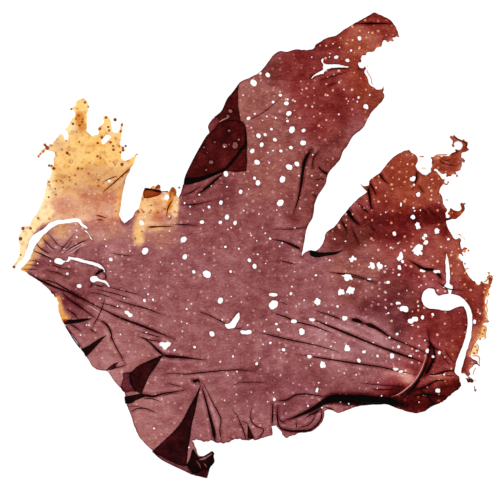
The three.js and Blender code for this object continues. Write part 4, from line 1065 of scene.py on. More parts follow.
def leaf(flat, faces, under, over):
    """Points and faces of a closed leaf between two heights, with walls along its open edges."""
    count = len(flat)
    points = np.concatenate([np.column_stack([flat, under]), np.column_stack([flat, over])])
    a, b, c = flat[faces[:, 0]], flat[faces[:, 1]], flat[faces[:, 2]]
    turn = (b[:, 0] - a[:, 0]) * (c[:, 1] - a[:, 1]) - (b[:, 1] - a[:, 1]) * (c[:, 0] - a[:, 0])
    faces = np.where((turn < 0)[:, None], faces[:, ::-1], faces)
    sides = np.concatenate([faces[:, [0, 1]], faces[:, [1, 2]], faces[:, [2, 0]]])
    keys = sides[:, 0] * count + sides[:, 1]
    start, end = sides[~np.isin(keys, sides[:, 1] * count + sides[:, 0])].T
    walls = [np.column_stack([start, end, end + count]), np.column_stack([start, end + count, start + count])]
    return points, np.concatenate([faces + count, faces[:, ::-1], *walls])

# %% [markdown]
# ## Dried laver membrane
#
# The film is a dried gel, like gelatine: satin, faintly glossy, with a fine cobbled texture from its
# cells. Clear film over a pale ground could be rendered as real transmission, but that is slow and grainy
# for a leaf this thin. The law above gives the same colour on an opaque shader. The amounts come from
# point attributes, and the noises that vary them are sized in millimetres.

# %% Colours and a helper for nodes
PURPLE_FILM = "#955E69"  # what white becomes behind one layer with one unit of purple
RED_FILM = "#984F59"  # where the blade has aged, and only the red of its pigments is left
YELLOW_FILM = "#F4D69C"  # and behind one with one unit of yellow


def linear(hex_colour):
    """An sRGB hex colour as linear red, green and blue."""
    shares = [int(hex_colour[i:i + 2], 16) / 255 for i in (1, 3, 5)]
    return [s / 12.92 if s <= 0.04045 else ((s + 0.055) / 1.055) ** 2.4 for s in shares]


def add_node(tree, kind, inputs=None, **settings):
    """Adds a node, sets its properties, and gives each input a value or another node's output."""
    node = tree.nodes.new(kind)
    for key, value in settings.items():
        setattr(node, key, value)
    for key, value in (inputs or {}).items():
        if isinstance(value, bpy.types.NodeSocket):
            tree.links.new(value, node.inputs[key])
        else:
            node.inputs[key].default_value = value
    return node


# %% The shader of the stained film
PATTERNS = [  # size in mm, how far it changes the pigment, and how much longer it is from left to right
    (0.5, 0.16, 2.0),
    (2.4, 0.10, 1.8),
    (7.0, 0.10, 1.0),
]
PATTERN_RANGE = (0.3, 0.7)  # a noise seldom leaves this range
SPOT_SPACING = 2.5
SPOT_SIZES = 0.34  # how much smaller one spot is than another, as a share of the spacing
SPOT_FROM, SPOT_TO = 0.17, 0.26  # where a spot starts to fade and where it ends
WORN_SIZE = 3.2
GRAIN, GRAIN_DEPTH, GRAIN_STRENGTH = 0.7, 0.05, 0.6  # real cells are 0.02 mm wide, too fine to show here
SATIN = (0.5, 0.7)  # roughness
FILM_IOR, FILM_GLOSS = 1.45, 0.04


def stained_film(name):
    """An opaque shader coloured by two pigments, whose amounts are the attributes purple and yellow."""
    material = bpy.data.materials.new(name)
    material.use_nodes = True
    tree = material.node_tree
    shader = tree.nodes["Principled BSDF"]
    place = add_node(tree, "ShaderNodeTexCoord").outputs["Object"]

    # Pale spots, where the film is thin: a Voronoi cell each, of which about half have a spot.
    cell = add_node(tree, "ShaderNodeTexVoronoi", {"Vector": place, "Scale": 1 / (SPOT_SPACING * MM)},
                    voronoi_dimensions="2D")
    chance = add_node(tree, "ShaderNodeSeparateColor", {0: cell.outputs["Color"]})
    smaller = add_node(tree, "ShaderNodeMath",
                       {0: chance.outputs[0], 1: SPOT_SIZES, 2: cell.outputs["Distance"]},
                       operation="MULTIPLY_ADD")
    spots = add_node(tree, "ShaderNodeAttribute", attribute_name="spots")
    least = add_node(tree, "ShaderNodeMath", {0: 1.0, 1: spots.outputs["Fac"]}, operation="SUBTRACT")
    spotted = add_node(tree, "ShaderNodeMapRange",
                       {"Value": smaller.outputs[0], "From Min": SPOT_FROM, "From Max": SPOT_TO,
                        "To Min": least.outputs[0]}).outputs[0]

    # Mottling at three scales, all multiplied together. The spots change only the purple pigment.
    mottled = 1.0
    for size, amount, length in PATTERNS:
        stretched = add_node(tree, "ShaderNodeVectorMath", {0: place, 1: (1 / length, 1, 1)},
                             operation="MULTIPLY")
        field = add_node(tree, "ShaderNodeTexNoise", {"Vector": stretched.outputs[0], "Roughness": 0.6,
                                                      "Scale": 1 / (size * MM), "Detail": 2.0})
        share = add_node(tree, "ShaderNodeMapRange",
                         {"Value": field.outputs[0], "From Min": PATTERN_RANGE[0],
                          "From Max": PATTERN_RANGE[1], "To Min": 1 - amount, "To Max": 1 + amount})
        mottled = add_node(tree, "ShaderNodeMath", {0: mottled, 1: share.outputs[0]},
                           operation="MULTIPLY").outputs[0]
    purple_share = add_node(tree, "ShaderNodeMath", {0: mottled, 1: spotted}, operation="MULTIPLY").outputs[0]

    # The Beer-Lambert law: the logarithm of each film's colour, times its amount, added and raised again.
    purple, red, yellow = (np.log(linear(film)) for film in (PURPLE_FILM, RED_FILM, YELLOW_FILM))
    redness = add_node(tree, "ShaderNodeAttribute", attribute_name="redness")
    film = add_node(tree, "ShaderNodeVectorMath", {0: red - purple, 1: redness.outputs["Fac"], 2: purple},
                    operation="MULTIPLY_ADD").outputs[0]
    layers = []
    for label, absorbed, share in (("purple", film, purple_share), ("yellow", yellow, mottled)):
        amount = add_node(tree, "ShaderNodeAttribute", attribute_name=label)
        varied = add_node(tree, "ShaderNodeMath", {0: amount.outputs["Fac"], 1: share}, operation="MULTIPLY")
        layers.append(add_node(tree, "ShaderNodeVectorMath", {0: absorbed, "Scale": varied.outputs[0]},
                               operation="SCALE").outputs[0])
    total = add_node(tree, "ShaderNodeVectorMath", dict(enumerate(layers)), operation="ADD")
    parts = add_node(tree, "ShaderNodeSeparateXYZ", {0: total.outputs[0]})
    powers = [add_node(tree, "ShaderNodeMath", {0: part}, operation="EXPONENT").outputs[0]
              for part in parts.outputs]
    colour = add_node(tree, "ShaderNodeCombineColor", dict(enumerate(powers)))
    tree.links.new(colour.outputs[0], shader.inputs["Base Color"])

    # Satin: rougher where the film has dried more, and a fine grain from the cells.
    worn = add_node(tree, "ShaderNodeTexNoise", {"Vector": place, "Scale": 1 / (WORN_SIZE * MM)})
    rough = add_node(tree, "ShaderNodeMapRange",
                     {"Value": worn.outputs[0], "From Min": PATTERN_RANGE[0], "From Max": PATTERN_RANGE[1],
                      "To Min": SATIN[0], "To Max": SATIN[1]})
    grain = add_node(tree, "ShaderNodeTexNoise", {"Vector": place, "Scale": 1 / (GRAIN * MM), "Detail": 3.0})
    bump = add_node(tree, "ShaderNodeBump", {"Height": grain.outputs[0], "Strength": GRAIN_STRENGTH,
                                             "Distance": GRAIN_DEPTH * MM})
    tree.links.new(rough.outputs[0], shader.inputs["Roughness"])
    tree.links.new(bump.outputs[0], shader.inputs["Normal"])
    shader.inputs["IOR"].default_value = FILM_IOR
    shader.inputs["Specular IOR Level"].default_value = FILM_GLOSS
    return material


membrane = stained_film("dried_laver_membrane")
print("material:", membrane.name)

# %% The blade itself
SPOT_ZONES = [  # where the pale spots are strong: a line, where the zone is full, and where it ends
    ((44, 20, 60, 16, 60, -4, 76, -12), 14, 24),
    ((62, -24, 70, -44), 10, 20),
    ((84, -14, 85, -28, 80, -40), 6, 12),
    ((24, 56, 38, 74), 9, 18),
]
SPOT_STRENGTH = (0.4, 0.76)  # the share of purple that a spot lacks, away from the zones and inside them
DARK_SPOTS = 5.0  # where the blade has bleached, the spots are dark instead: this many times more purple
BLEACHED_BELOW = 0.4  # of purple
FULL_RIM, LEAST_RIM = 0.8, 0.12  # the purple from which the rim is as dark as it gets, and its least share
RED_ZONES = [  # where the blade is redder
    ((50, 26, 66, 24, 64, 4, 78, -8, 84, -24), 11, 24),
    ((72, -34, 72, -52, 60, -56), 8, 18),
    ((48, 80, 38, 76, 34, 60), 8, 20),
    ((20, 66, 26, 50), 5, 14),
    ((-72, 15, -54, 14), 4, 9),
    ((-37, 15), 5, 8),
]


def zone_share(points, zones):
    """1 inside the zones, 0 away from them."""
    return np.max([near_line(points, *zone) for zone in zones], axis=0)


bleached = np.clip(1 - purple / BLEACHED_BELOW, 0, 1)
spots = np.interp(zone_share(plan, SPOT_ZONES), (0, 1), SPOT_STRENGTH) * (1 - bleached) - DARK_SPOTS * bleached
# the rim's painted edge shade and curl, weaker where the film is pale
own_rim = 1 + (rim - 1) * np.clip(purple / FULL_RIM, LEAST_RIM, 1)
high = low + LEAF
points, faces = leaf(plan, triangles, low, high)
blade_sheet = add_leaves("blade_sheet", points, faces, membrane, purple=np.tile(purple * own_rim, 2),
                         yellow=np.tile(yellow * own_rim, 2), spots=np.tile(spots, 2),
                         redness=np.tile(zone_share(plan, RED_ZONES), 2))
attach(blade_sheet, "root")
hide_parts("blade")
print("blade_sheet:", len(blade_sheet.data.vertices), "points,", len(blade_sheet.data.polygons), "faces")

# %% [markdown]
# ## Parts folded over
#
# In some places the blade is folded onto itself. Bending the one sheet round a fold would need its hidden
# part too. Each folded part is a second thin leaf instead, laid on what is below it, cut to the outline
# that shows and stained for the number of layers that the light passes there. Holes in the upper layer
# show the single membrane under it, as on the real one.

# %% Outlines of the folded parts: layers, outline, holes
FLAP_HOLES = [
    (-8.6, 51, 0.75), (-9.5, 49, 0.6), (-9.1, 43.5, 0.55), (-10.7, 37.9, 0.9), (-9.1, 38.3, 0.4),
    (-6.8, 38, 1.15), (-5.4, 40.2, 0.5), (-14.5, 39.3, 0.45), (-15.9, 31.7, 0.95, 0.6), (-17.8, 28.7, 0.5),
    (-18.6, 37.3, 0.45), (-17.4, 35.3, 0.3),
]
FLAPS = [
    (2.25, (-26.4, 22.8, -26.1, 25.3, -23.6, 31.1, -19.6, 38.5, -17.3, 42.1, -15.6, 43.4, -13.8, 45.4,
     -13, 47, -13.6, 48.4, -14.9, 48.7, -12.1, 51, -9.7, 55.9, -8, 57.9, -5.4, 61.4, -5.7, 57, -5.5, 52,
     -4.9, 49, -4.6, 47.3, -3.6, 46.5, -2.9, 45.4, -2.4, 42, -2.2, 38, -2.4, 35, -2.2, 32, -2.6, 28.3,
     -6, 27.9, -9.4, 28.2, -11, 28.6, -12.4, 27.6, -16, 25.9, -22, 23.7), FLAP_HOLES),
    (4.2, (-26.5, 22.8, -22, 23.9, -16.9, 26, -12.5, 27.5, -10.2, 28.6, -8.4, 30.4, -6.6, 32.6, -4.9, 34.8,
     -3.6, 36.6, -2.4, 37.6, -2.5, 41, -2.9, 43.6, -3.2, 41, -3.3, 38.4, -4.7, 37, -6.1, 35, -7.9, 32.8,
     -9.9, 30.4, -11.4, 29.2, -13.6, 28.2, -17, 27, -21.3, 25.9, -26, 25.7), []),
    (1.3, (-16.6, 43.2, -17.1, 45.2, -15.2, 48.4, -13.6, 48.1, -13.2, 46.8, -14, 45.2, -15.4, 43.6), []),
    (2.05, (-49.5, -48.5, -48, -48.1, -46.4, -48, -44, -45.9, -40, -43.9, -34, -41.3, -36.2, -45, -39.6, -50,
     -41, -53, -42.2, -56.2, -45.4, -55.4, -49.1, -55.6, -50.2, -54, -49.8, -52, -49.3, -50), []),
    (2.9, (-46.8, -49.2, -45.6, -47.6, -44, -46, -40, -44, -34.3, -41.6, -39.6, -50, -41, -53, -42.3, -56,
     -43.6, -55.8, -45.2, -54.2, -46.3, -52), []),
    (3.6, (-48.9, -57.4, -46, -56.9, -43.8, -56.4, -41.6, -56.3, -40.4, -57.2, -42.6, -58.1, -44.4, -58.8,
     -45.6, -59.6, -47.4, -60.1, -48.6, -60), []),
    (1.5, (-38.4, -78.3, -35.1, -81.2, -30.1, -83.8, -26, -85.7, -22.8, -87.3, -24.2, -85, -25.2, -83.6,
     -30, -82.2, -35, -79.6), []),
    (3.05, (-19.8, -52.8, -21.8, -57, -24.6, -62, -26.6, -66, -29.8, -70.2, -32.6, -72.9, -35.8, -75.9,
     -38.4, -78.3, -37.4, -79, -35, -80, -33, -81.2, -30, -82.5, -26.8, -83.7, -25.3, -83.7, -24.9, -80,
     -24.6, -77, -24, -74, -23.2, -68, -22, -63, -20.8, -57, -20, -54), []),
    (4.0, (-25.3, -83.2, -24.2, -81.4, -23, -77.6, -22.6, -77.2, -21.6, -79, -20.6, -80.5, -18.6, -79.9,
     -16.8, -78.8, -15.6, -78, -14.7, -78.8, -14.9, -80, -14.6, -82.2, -16.2, -84.3, -16.6, -85.4, -19, -85.2,
     -21, -86.4, -22.9, -86.8, -24, -85.2), [(-18.2, -80.4, 0.9, 0.25)]),
    (2.3, (-16.5, -85.1, -18.9, -84.9, -20.9, -86.1, -22.5, -86.5, -22.2, -87.4, -19.5, -87.8,
     -17.4, -88.4), []),
    (2.6, (-2, -67.6, -2.1, -73.4, 0.5, -73.4), []),
    (3.4, (-72.2, -28.1, -71.8, -29.9, -69, -29.7, -65.6, -29.2, -62.6, -28.3, -61.2, -27.7, -63.6, -27.7,
     -68, -28.2), []),
    (3.4, (-65.5, -39.3, -63, -38.3, -59.6, -36.1, -57.4, -34.8, -55.7, -34.1, -57.2, -35.8, -60, -38.8,
     -62.8, -41.7, -63.6, -42.3, -64.2, -41), []),
    (3.0, (-55.9, -47.4, -54.4, -46, -52.8, -44.9, -51, -44.2, -52.2, -45.6, -51.6, -46.3, -53.6, -47.2), []),
    (3.8, (21.4, -1.8, 24, -2.4, 28, -2.6, 32, -2.3, 35.2, -1.3, 31.5, -3.3, 28, -3.9, 24, -4.5,
     21.9, -3.8), []),
]

# %% Tatters: purple, yellow, outline
TATTERS = [
    (0.15, 1.5, (87, -30.2, 88, -30.3, 88.5, -31.4, 88.2, -32.6, 88.6, -33.8, 88.2, -35, 87.2, -35,
     86.3, -35.3, 86.4, -33.6, 86.7, -31.8)),
    (0.06, 1.1, (84, -37.6, 85, -38, 85.4, -39.4, 85.6, -41, 84.4, -41.6, 83, -41.2, 83.4, -39.6)),
    (1.7, 1.2, (80.4, -50.4, 81, -50.7, 81.3, -51.5, 81.6, -52.1, 82.6, -52, 83.3, -52.2, 83.9, -51.6,
     83.6, -50.9, 82.8, -50.3, 82.2, -50.6, 81.4, -50.4)),
    (0.06, 1.1, (89.4, -17.2, 89.6, -18.6, 89.2, -19.6, 88.5, -19.6, 88.7, -18.4)),
    (0.9, 3.2, (-41.5, 18, -41.7, 20.2, -41.1, 21.8, -38.4, 21.6, -36.5, 21.3, -35, 21, -34.8, 20, -36, 19,
     -38, 18.4, -40, 18)),
    (2.2, 3.0, (-41.2, 21.8, -40, 21.9, -38.6, 21.4, -37, 21.2, -35.4, 20.9, -35, 20.2, -36.4, 20.2,
     -38, 20.7, -40, 21, -41.4, 20.9)),
]

# %% Lay each folded part and each tatter on what is below it
FLAP_SPACING = 0.9
FLAP_GAP = 0.04
FLAP_STEP = 0.55
FLAP_ROUNDS = 8
FLAP_LEAF = 0.8 * LEAF
AGED_ZONES = [((-24, 24, -8, 48, -4, 60), 14, 18)]  # the fold of the upper lobe, which is redder
FOLD_REDNESS = 0.5
FOLD_YELLOW = 0.35  # away from there, the folded parts have only this share of yellow


def drop_on(points, trees):
    """Height of the highest surface under each plan point, or of the nearest surface beside it."""
    heights = []
    for point in points:
        hits = [tree.ray_cast(Vector((*point, WELL_CLEAR)), Vector((0, 0, -1)))[0] for tree in trees]
        found = [hit.z for hit in hits if hit is not None]
        heights.append(max(found) if found else trees[0].find_nearest(Vector((*point, 0)))[0].z)
    return np.array(heights)


surfaces = [BVHTree.FromPolygons(points.tolist(), faces.tolist())]
flap_points, flap_faces, flap_purple, flap_yellow = [], [], [], []


def lay_leaf(outline, leaf_holes, layers=None, amounts=None):
    """Puts a thin leaf on top of what lies there, stained for its layers or with its own two amounts."""
    flap_rings = [smooth_ring(plan_points(outline), FLAP_STEP)]
    flap_rings += [hole_ring(*hole) for hole in leaf_holes]
    flat, flap_triangles = triangulate(flap_rings, fill_points(flap_rings, FLAP_SPACING))
    under = drop_on(flat, surfaces) + FLAP_GAP
    under = np.maximum(under, averaged(under, edges_of(flap_triangles)[0], FLAP_ROUNDS))
    flap_solid, flap_shell = leaf(flat, flap_triangles, under, under + FLAP_LEAF)
    surfaces.append(BVHTree.FromPolygons(flap_solid.tolist(), flap_shell.tolist()))
    # painted edge shade, with the curl of the film, along each folded part
    edge = dark_rim(flat, flap_rings, LEAF_RIM)
    if amounts:
        own_purple, own_yellow = (amount * np.ones(len(flat)) for amount in amounts)
    else:
        own_purple, own_yellow = (layers * amount for amount in pigments(flat))
        own_yellow *= np.interp(zone_share(flat, AGED_ZONES), (0, 1), (FOLD_YELLOW, 1))
    flap_faces.append(flap_shell + sum(len(solid) for solid in flap_points))
    flap_points.append(flap_solid)
    flap_purple.append(np.tile(own_purple * edge, 2))
    flap_yellow.append(np.tile(own_yellow * edge, 2))


for flap_layers, outline, flap_holes in FLAPS:
    lay_leaf(outline, flap_holes, layers=flap_layers)
for tatter_purple, tatter_yellow, outline in TATTERS:
    lay_leaf(outline, [], amounts=(tatter_purple, tatter_yellow))
flap_places = np.concatenate(flap_points)
folded_layers = add_leaves("folded_layers", flap_places, np.concatenate(flap_faces), membrane,
                           purple=np.concatenate(flap_purple), yellow=np.concatenate(flap_yellow),
                           redness=FOLD_REDNESS * zone_share(flap_places[:, :2], AGED_ZONES))
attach(folded_layers, "root")
print("folded_layers:", len(FLAPS) + len(TATTERS), "leaves,", len(folded_layers.data.polygons), "faces")

# %% [markdown]
# ## Ridges along the creases
#
# Sweeping a small profile along a path is what Geometry Nodes do best: the paths come in as bare edges
# with a width at each point, and one tree turns all of them into ridges. The profile is a flat ellipse,
# half sunk in the membrane, so each ridge meets it at a soft angle and ends in a point.

# %% Bare paths with a width at each point
RIDGE_STEP = 0.6
RIDGE_TAPER, RIDGE_TIP = 0.12, 0.25  # it tapers over this share of its length, to this share of its width
RIDGE_LAYERS = 4.2
LEAST_PURPLE, LEAST_YELLOW = 1.9, 1.5


def path_points(path, step):
    """A smooth line through the path's points, with a point every `step`, and each one's share of it."""
    path = plan_points(path)
    heading = np.gradient(path, axis=0)
    heading /= np.linalg.norm(heading, axis=1)[:, None]
    points = []
    for i in range(len(path) - 1):
        length = np.linalg.norm(path[i + 1] - path[i])
        count = max(1, round(length / step))
        points += [curve_between(path[i], path[i + 1], length, heading[i], heading[i + 1], t)
                   for t in np.arange(count + (i == len(path) - 2)) / count]
    return np.array(points), np.linspace(0, 1, len(points))


def bare_paths(name, paths, widen=1.0):
    """A mesh of edges along the paths, on what is below them, with half_width, purple and yellow.

    A path without pigments of its own gets those of a few layers of what is below it.
    """
    points, edges, widths, purples, yellows = [], [], [], [], []
    for own_purple, own_yellow, steps, path in paths:
        flat, along = path_points(path, RIDGE_STEP)
        on_film = ~inside(flat, pierced)  # no ridge runs over a hole
        edges += [(len(points) + i, len(points) + i + 1) for i in np.flatnonzero(on_film[1:] & on_film[:-1])]
        taper = np.clip(np.minimum(along, 1 - along) / RIDGE_TAPER, RIDGE_TIP, 1)
        widths += list(widen * crease_width(steps, along) * taper / 2)
        points += [(*place, height) for place, height in zip(flat, drop_on(flat, surfaces))]
        below_purple, below_yellow = pigments(flat)
        if own_purple is None:
            purples += list(np.maximum(RIDGE_LAYERS * below_purple, LEAST_PURPLE))
            yellows += list(np.maximum(RIDGE_LAYERS * below_yellow, LEAST_YELLOW))
        else:
            purples += [own_purple] * len(flat)
            yellows += [own_yellow] * len(flat)
    return add_piece(name, points, edges, [], half_width=np.array(widths) * MM, purple=purples, yellow=yellows)


# %% Painted shade along soft folds and painted highlights along edges: purple, yellow, widths, points
SHADE_AND_HIGHLIGHT_LINES = [
    (0.62, 0.35, (0.2, 0.35, 0.4, 0.5, 0.5, 0.5, 0.4, 0.2), (65.4, -37.7, 65.9, -40.4, 65, -44, 63.8, -47,
     62, -50, 60, -52.4, 57.4, -54.8, 54.8, -56.6, 52.4, -57.4)),
    (1.7, 0.5, (0.3, 0.6, 0.5, 0.3), (-2, 47.4, 3, 50, 7, 53, 11, 56.8)),
    (2.9, 0.9, (0.2, 0.4, 0.3), (-12.5, 40.8, -8, 42.8, -3.8, 44.6)),
    (0.7, 0.4, (0.3, 0.35, 0.3), (-13.2, 46.7, -11.2, 47.8, -9.2, 48.6)),
    (0.5, 0.25, (0.2, 0.4, 0.3), (-72, -3.2, -69, -1.3, -66, 0.3, -63.2, 1.5)),
    (0.5, 0.25, (0.2, 0.35, 0.2), (-70.6, -3.4, -67.8, -2, -65, -0.2, -62.8, 0.9)),
    (0.45, 0.3, (0.2, 0.35, 0.2), (-81, -1.6, -79.4, -3, -76.8, -4.3)),
    (0.5, 0.3, (0.2, 0.35, 0.2), (-78.6, 0.8, -77.4, -0.8, -75.8, -2)),
    (0.5, 0.3, (0.2, 0.4, 0.2), (-63, -22.6, -59.8, -24.4, -57, -26.6)),
    (0.55, 0.3, (0.2, 0.35, 0.2), (66.6, -49.4, 70, -49.4, 73, -48.6)),
    (1.1, 0.4, (0.4, 0.8, 0.6, 0.4), (-20.6, -81.3, -18.6, -80.9, -16.6, -79.7, -15.5, -78.9)),
    (1.5, 0.4, (0.2, 0.5, 0.2), (-21.6, -81.6, -20.4, -83.2, -19.8, -84.8)),
    (1.4, 0.4, (0.2, 0.45, 0.2), (-18.6, -82.6, -17.4, -84.4)),
    (4.2, 0.6, (0.2, 0.6, 0.5, 0.3), (-48.2, -49, -46.2, -48.8, -44.4, -49.6, -43, -51)),
    (4.4, 0.6, (0.2, 0.5, 0.5, 0.3), (-47, -49.6, -46.5, -52, -45.2, -54.4, -43.6, -55.8)),
    (4.4, 0.6, (0.2, 0.4, 0.2), (-42.6, -48.6, -43.4, -51.4, -43, -54)),
]
paths = [(None, None, *crease) for crease in CREASES] + SHADE_AND_HIGHLIGHT_LINES
crease_ridges = bare_paths("crease_ridges", paths)
print("crease paths:", len(crease_ridges.data.edges), "edges")

# %% Helpers for Geometry Nodes
FLOOR_GAP = 0.02


def new_tree(name, sizes):
    """An empty Geometry Nodes tree with named inputs, its input and its output node."""
    tree = bpy.data.node_groups.new(name, "GeometryNodeTree")
    tree.interface.new_socket("Geometry", in_out="INPUT", socket_type="NodeSocketGeometry")
    tree.interface.new_socket("Geometry", in_out="OUTPUT", socket_type="NodeSocketGeometry")
    for label, kind in sizes.items():
        tree.interface.new_socket(label, in_out="INPUT", socket_type=kind)
    return tree, tree.nodes.new("NodeGroupInput"), tree.nodes.new("NodeGroupOutput")


def finish_tree(tree, geometry_socket, output, material):
    """Ends a tree in real meshes with a material."""
    real = add_node(tree, "GeometryNodeRealizeInstances", {"Geometry": geometry_socket})
    ready = add_node(tree, "GeometryNodeSetMaterial", {"Geometry": real.outputs[0], "Material": material})
    tree.links.new(ready.outputs[0], output.inputs[0])


def apply_tree(piece, tree, values):
    """Runs a tree on a piece, and keeps the result as a plain mesh that doesn't reach into the floor."""
    modifier = piece.modifiers.new(tree.name, "NODES")
    modifier.node_group = tree
    for item in tree.interface.items_tree:
        if item.in_out == "INPUT" and item.name in values:
            modifier[item.identifier] = values[item.name]
    evaluated = piece.evaluated_get(bpy.context.evaluated_depsgraph_get())
    result = bpy.data.meshes.new_from_object(evaluated)
    piece.modifiers.clear()
    piece.data = result
    for vertex in result.vertices:
        vertex.co.z = max(vertex.co.z, FLOOR_GAP * MM)


# %% The tree that sweeps the ridges
RIDGE_SIDES = 8
RIDGE_FLATNESS = 0.42


def sweep_tree(material):
    """Sweeps a flat ellipse along every path, as wide as the attribute half_width says."""
    tree, start, end = new_tree("swept_creases", {"Sides": "NodeSocketInt", "Flatness": "NodeSocketFloat"})
    curve = add_node(tree, "GeometryNodeMeshToCurve", {"Mesh": start.outputs["Geometry"]})
    level = add_node(tree, "GeometryNodeSetCurveNormal", {"Curve": curve.outputs[0]}, mode="Z_UP")
    circle = add_node(tree, "GeometryNodeCurvePrimitiveCircle",
                      {"Resolution": start.outputs["Sides"], "Radius": 1.0}, mode="RADIUS")
    squash = add_node(tree, "ShaderNodeCombineXYZ", {0: 1.0, 1: start.outputs["Flatness"], 2: 1.0})
    profile = add_node(tree, "GeometryNodeTransform",
                       {"Geometry": circle.outputs[0], "Scale": squash.outputs[0]})
    width = add_node(tree, "GeometryNodeInputNamedAttribute", {"Name": "half_width"}, data_type="FLOAT")
    ridge = add_node(tree, "GeometryNodeCurveToMesh",
                     {"Curve": level.outputs[0], "Profile Curve": profile.outputs[0],
                      "Scale": width.outputs[0], "Fill Caps": True})
    smooth = add_node(tree, "GeometryNodeSetShadeSmooth", {"Geometry": ridge.outputs[0]})
    finish_tree(tree, smooth.outputs[0], end, material)
    return tree


sweep = sweep_tree(membrane)
apply_tree(crease_ridges, sweep, {"Sides": RIDGE_SIDES, "Flatness": RIDGE_FLATNESS})
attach(crease_ridges, "root")
print("crease_ridges:", len(crease_ridges.data.polygons), "faces")

# %% [markdown]
# ## Threads and specks
#
# At the worn margin single threads of cells are left over, and brown dots of spores and of small settlers
# sit on the bleached lobe. The threads are paths too, so the same tree sweeps them. The real ones are
# finer than the render can show, so they are drawn a little coarser. The specks are one low dot that a
# second tree instances on points with a radius each.

# %% Threads at the margin: purple, yellow, widths, points
THREADS = [
    (1.9, 1.0, (0.5, 0.35), (-35.4, 20.4, -33.6, 20.4, -32, 20.7)),
    (0.7, 2.4, (0.3, 0.7, 0.7, 0.3), (-31.9, 17.4, -31.4, 19, -31.3, 20.6, -30.4, 21.5, -29.5, 20.9,
     -29.4, 19.6, -30, 18.6)),
    (1.2, 1.6, (0.4, 0.4, 0.3), (-31, 21.9, -30.2, 22, -29.6, 21.6)),
    (0.5, 1.1, (0.3, 0.3), (43.2, 67, 43.2, 66, 43.8, 64.9, 44.5, 63.8, 45, 62.6, 45, 61.8, 45.7, 61)),
    (1.2, 1.5, (0.5, 0.5), (43.3, 68.2, 43.4, 67.5)),
    (0.6, 1.0, (0.3, 0.3), (49.3, 59.6, 49.6, 60.5)),
    (0.05, 1.3, (0.25, 0.3, 0.25), (77.2, 4.4, 78, 4.2, 78.8, 4, 79.4, 3.3, 80.2, 2.8, 80.5, 1.9)),
    (0.6, 1.3, (0.4, 0.5, 0.3), (77.8, 4.3, 78.6, 4.1, 79, 3.7)),
    (0.05, 1.2, (0.25, 0.3), (88.1, -10.9, 88.6, -10.3, 89.3, -10.1, 89.9, -10.5)),
    (0.1, 1.2, (0.3, 0.3), (89.9, -11, 90.7, -11.6)),
    (0.35, 1.5, (0.3, 0.5, 0.5, 0.4), (82.8, -41.8, 83.8, -42, 85, -41.9, 85.9, -42.4, 86.1, -43.4,
     85.9, -44.4, 86.2, -45.4)),
    (0.3, 1.2, (0.3, 0.4), (82, -49.4, 81.6, -50, 82, -50.6)),
    (0.3, 1.3, (0.4, 0.3, 0.2), (83.6, -51.2, 84.4, -51.4, 85, -51.2)),
    (1.6, 1.0, (0.6, 0.25, 0.5), (84.2, -53.4, 84.2, -54.4, 84.6, -55.6)),
    (0.1, 0.5, (0.3, 0.2), (-42, 21.2, -42.6, 22.6, -44, 24.4)),
    (0.5, 1.0, (0.3, 0.6, 0.5), (62.8, 33.6, 64, 33.7, 64.9, 33.6)),
    (0.15, 0.6, (0.3, 0.6, 0.3), (63.8, 29.2, 64.8, 29.3, 65.8, 29.1)),
    (0.3, 0.9, (0.5, 0.5), (72.3, 19.8, 72.5, 19)),
    (0.4, 1.0, (0.3, 0.6, 0.3), (73, 17.2, 73.7, 17.4, 74.3, 17)),
    (0.5, 2.2, (0.3, 0.5, 0.4, 0.5, 0.3), (68.4, 33.6, 70, 34.3, 71.4, 34.3, 72.6, 34.4, 73.8, 34.4)),
    (2.2, 1.4, (0.3, 0.5, 0.6, 0.5, 0.6, 0.7, 0.3), (75.9, 41.3, 77.6, 40.4, 79.4, 39.6, 80.6, 38.9, 81, 37.8,
     80.6, 36.8)),
    (2.2, 1.2, (0.3, 0.7, 0.4, 0.6, 0.3), (70.4, 32.8, 71.6, 31.4, 73.4, 30.8, 75.6, 30.4, 76.8, 29.8)),
    (1.9, 1.2, (0.2, 0.5, 0.3), (72, 32.6, 73.4, 32.2, 75, 32.5)),
    (2.0, 1.4, (0.2, 0.5, 0.5, 0.3), (74.8, 34.6, 76.6, 35.2, 78.2, 35.6)),
    (0.3, 2.0, (0.3, 0.6, 0.4, 0.5, 0.3), (87.2, -14, 88.4, -13.4, 89.2, -12.2, 90, -11.6, 90.4, -12.6)),
    (0.2, 1.9, (0.3, 0.5, 0.4, 0.5, 0.3), (88.5, -19.6, 89, -21, 88.6, -22.6, 89, -24.4, 88.7, -26.2,
     89.3, -28)),
    (0.2, 2.0, (0.3, 0.5, 0.3, 0.5, 0.3), (88.4, -30.2, 88.7, -32, 88.2, -33.6, 88.4, -35.2, 87.2, -36)),
    (0.3, 1.9, (0.3, 0.5, 0.3, 0.5, 0.3), (84.6, -37, 85.6, -38.4, 85.4, -40, 84.6, -41.6)),
    (0.3, 1.9, (0.3, 0.4, 0.3), (84.8, -46.2, 84, -47.6, 83.6, -49.4)),
    (0.3, 1.8, (0.3, 0.5, 0.3), (80.2, -9.4, 81.4, -8.6, 82.2, -8.8)),
    (0.6, 1.4, (0.25, 0.25), (-69.7, 31.8, -69.3, 32.4, -68.6, 32.4, -68.3, 31.8, -68.6, 31.2, -69.3, 31.2,
     -69.7, 31.8)),
]
THREAD_FLATNESS = 0.4
THREAD_WIDEN = 1.1
torn_threads = bare_paths("torn_threads", THREADS, THREAD_WIDEN)
apply_tree(torn_threads, sweep, {"Sides": RIDGE_SIDES, "Flatness": THREAD_FLATNESS})
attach(torn_threads, "root")
print("torn_threads:", len(torn_threads.data.polygons), "faces")

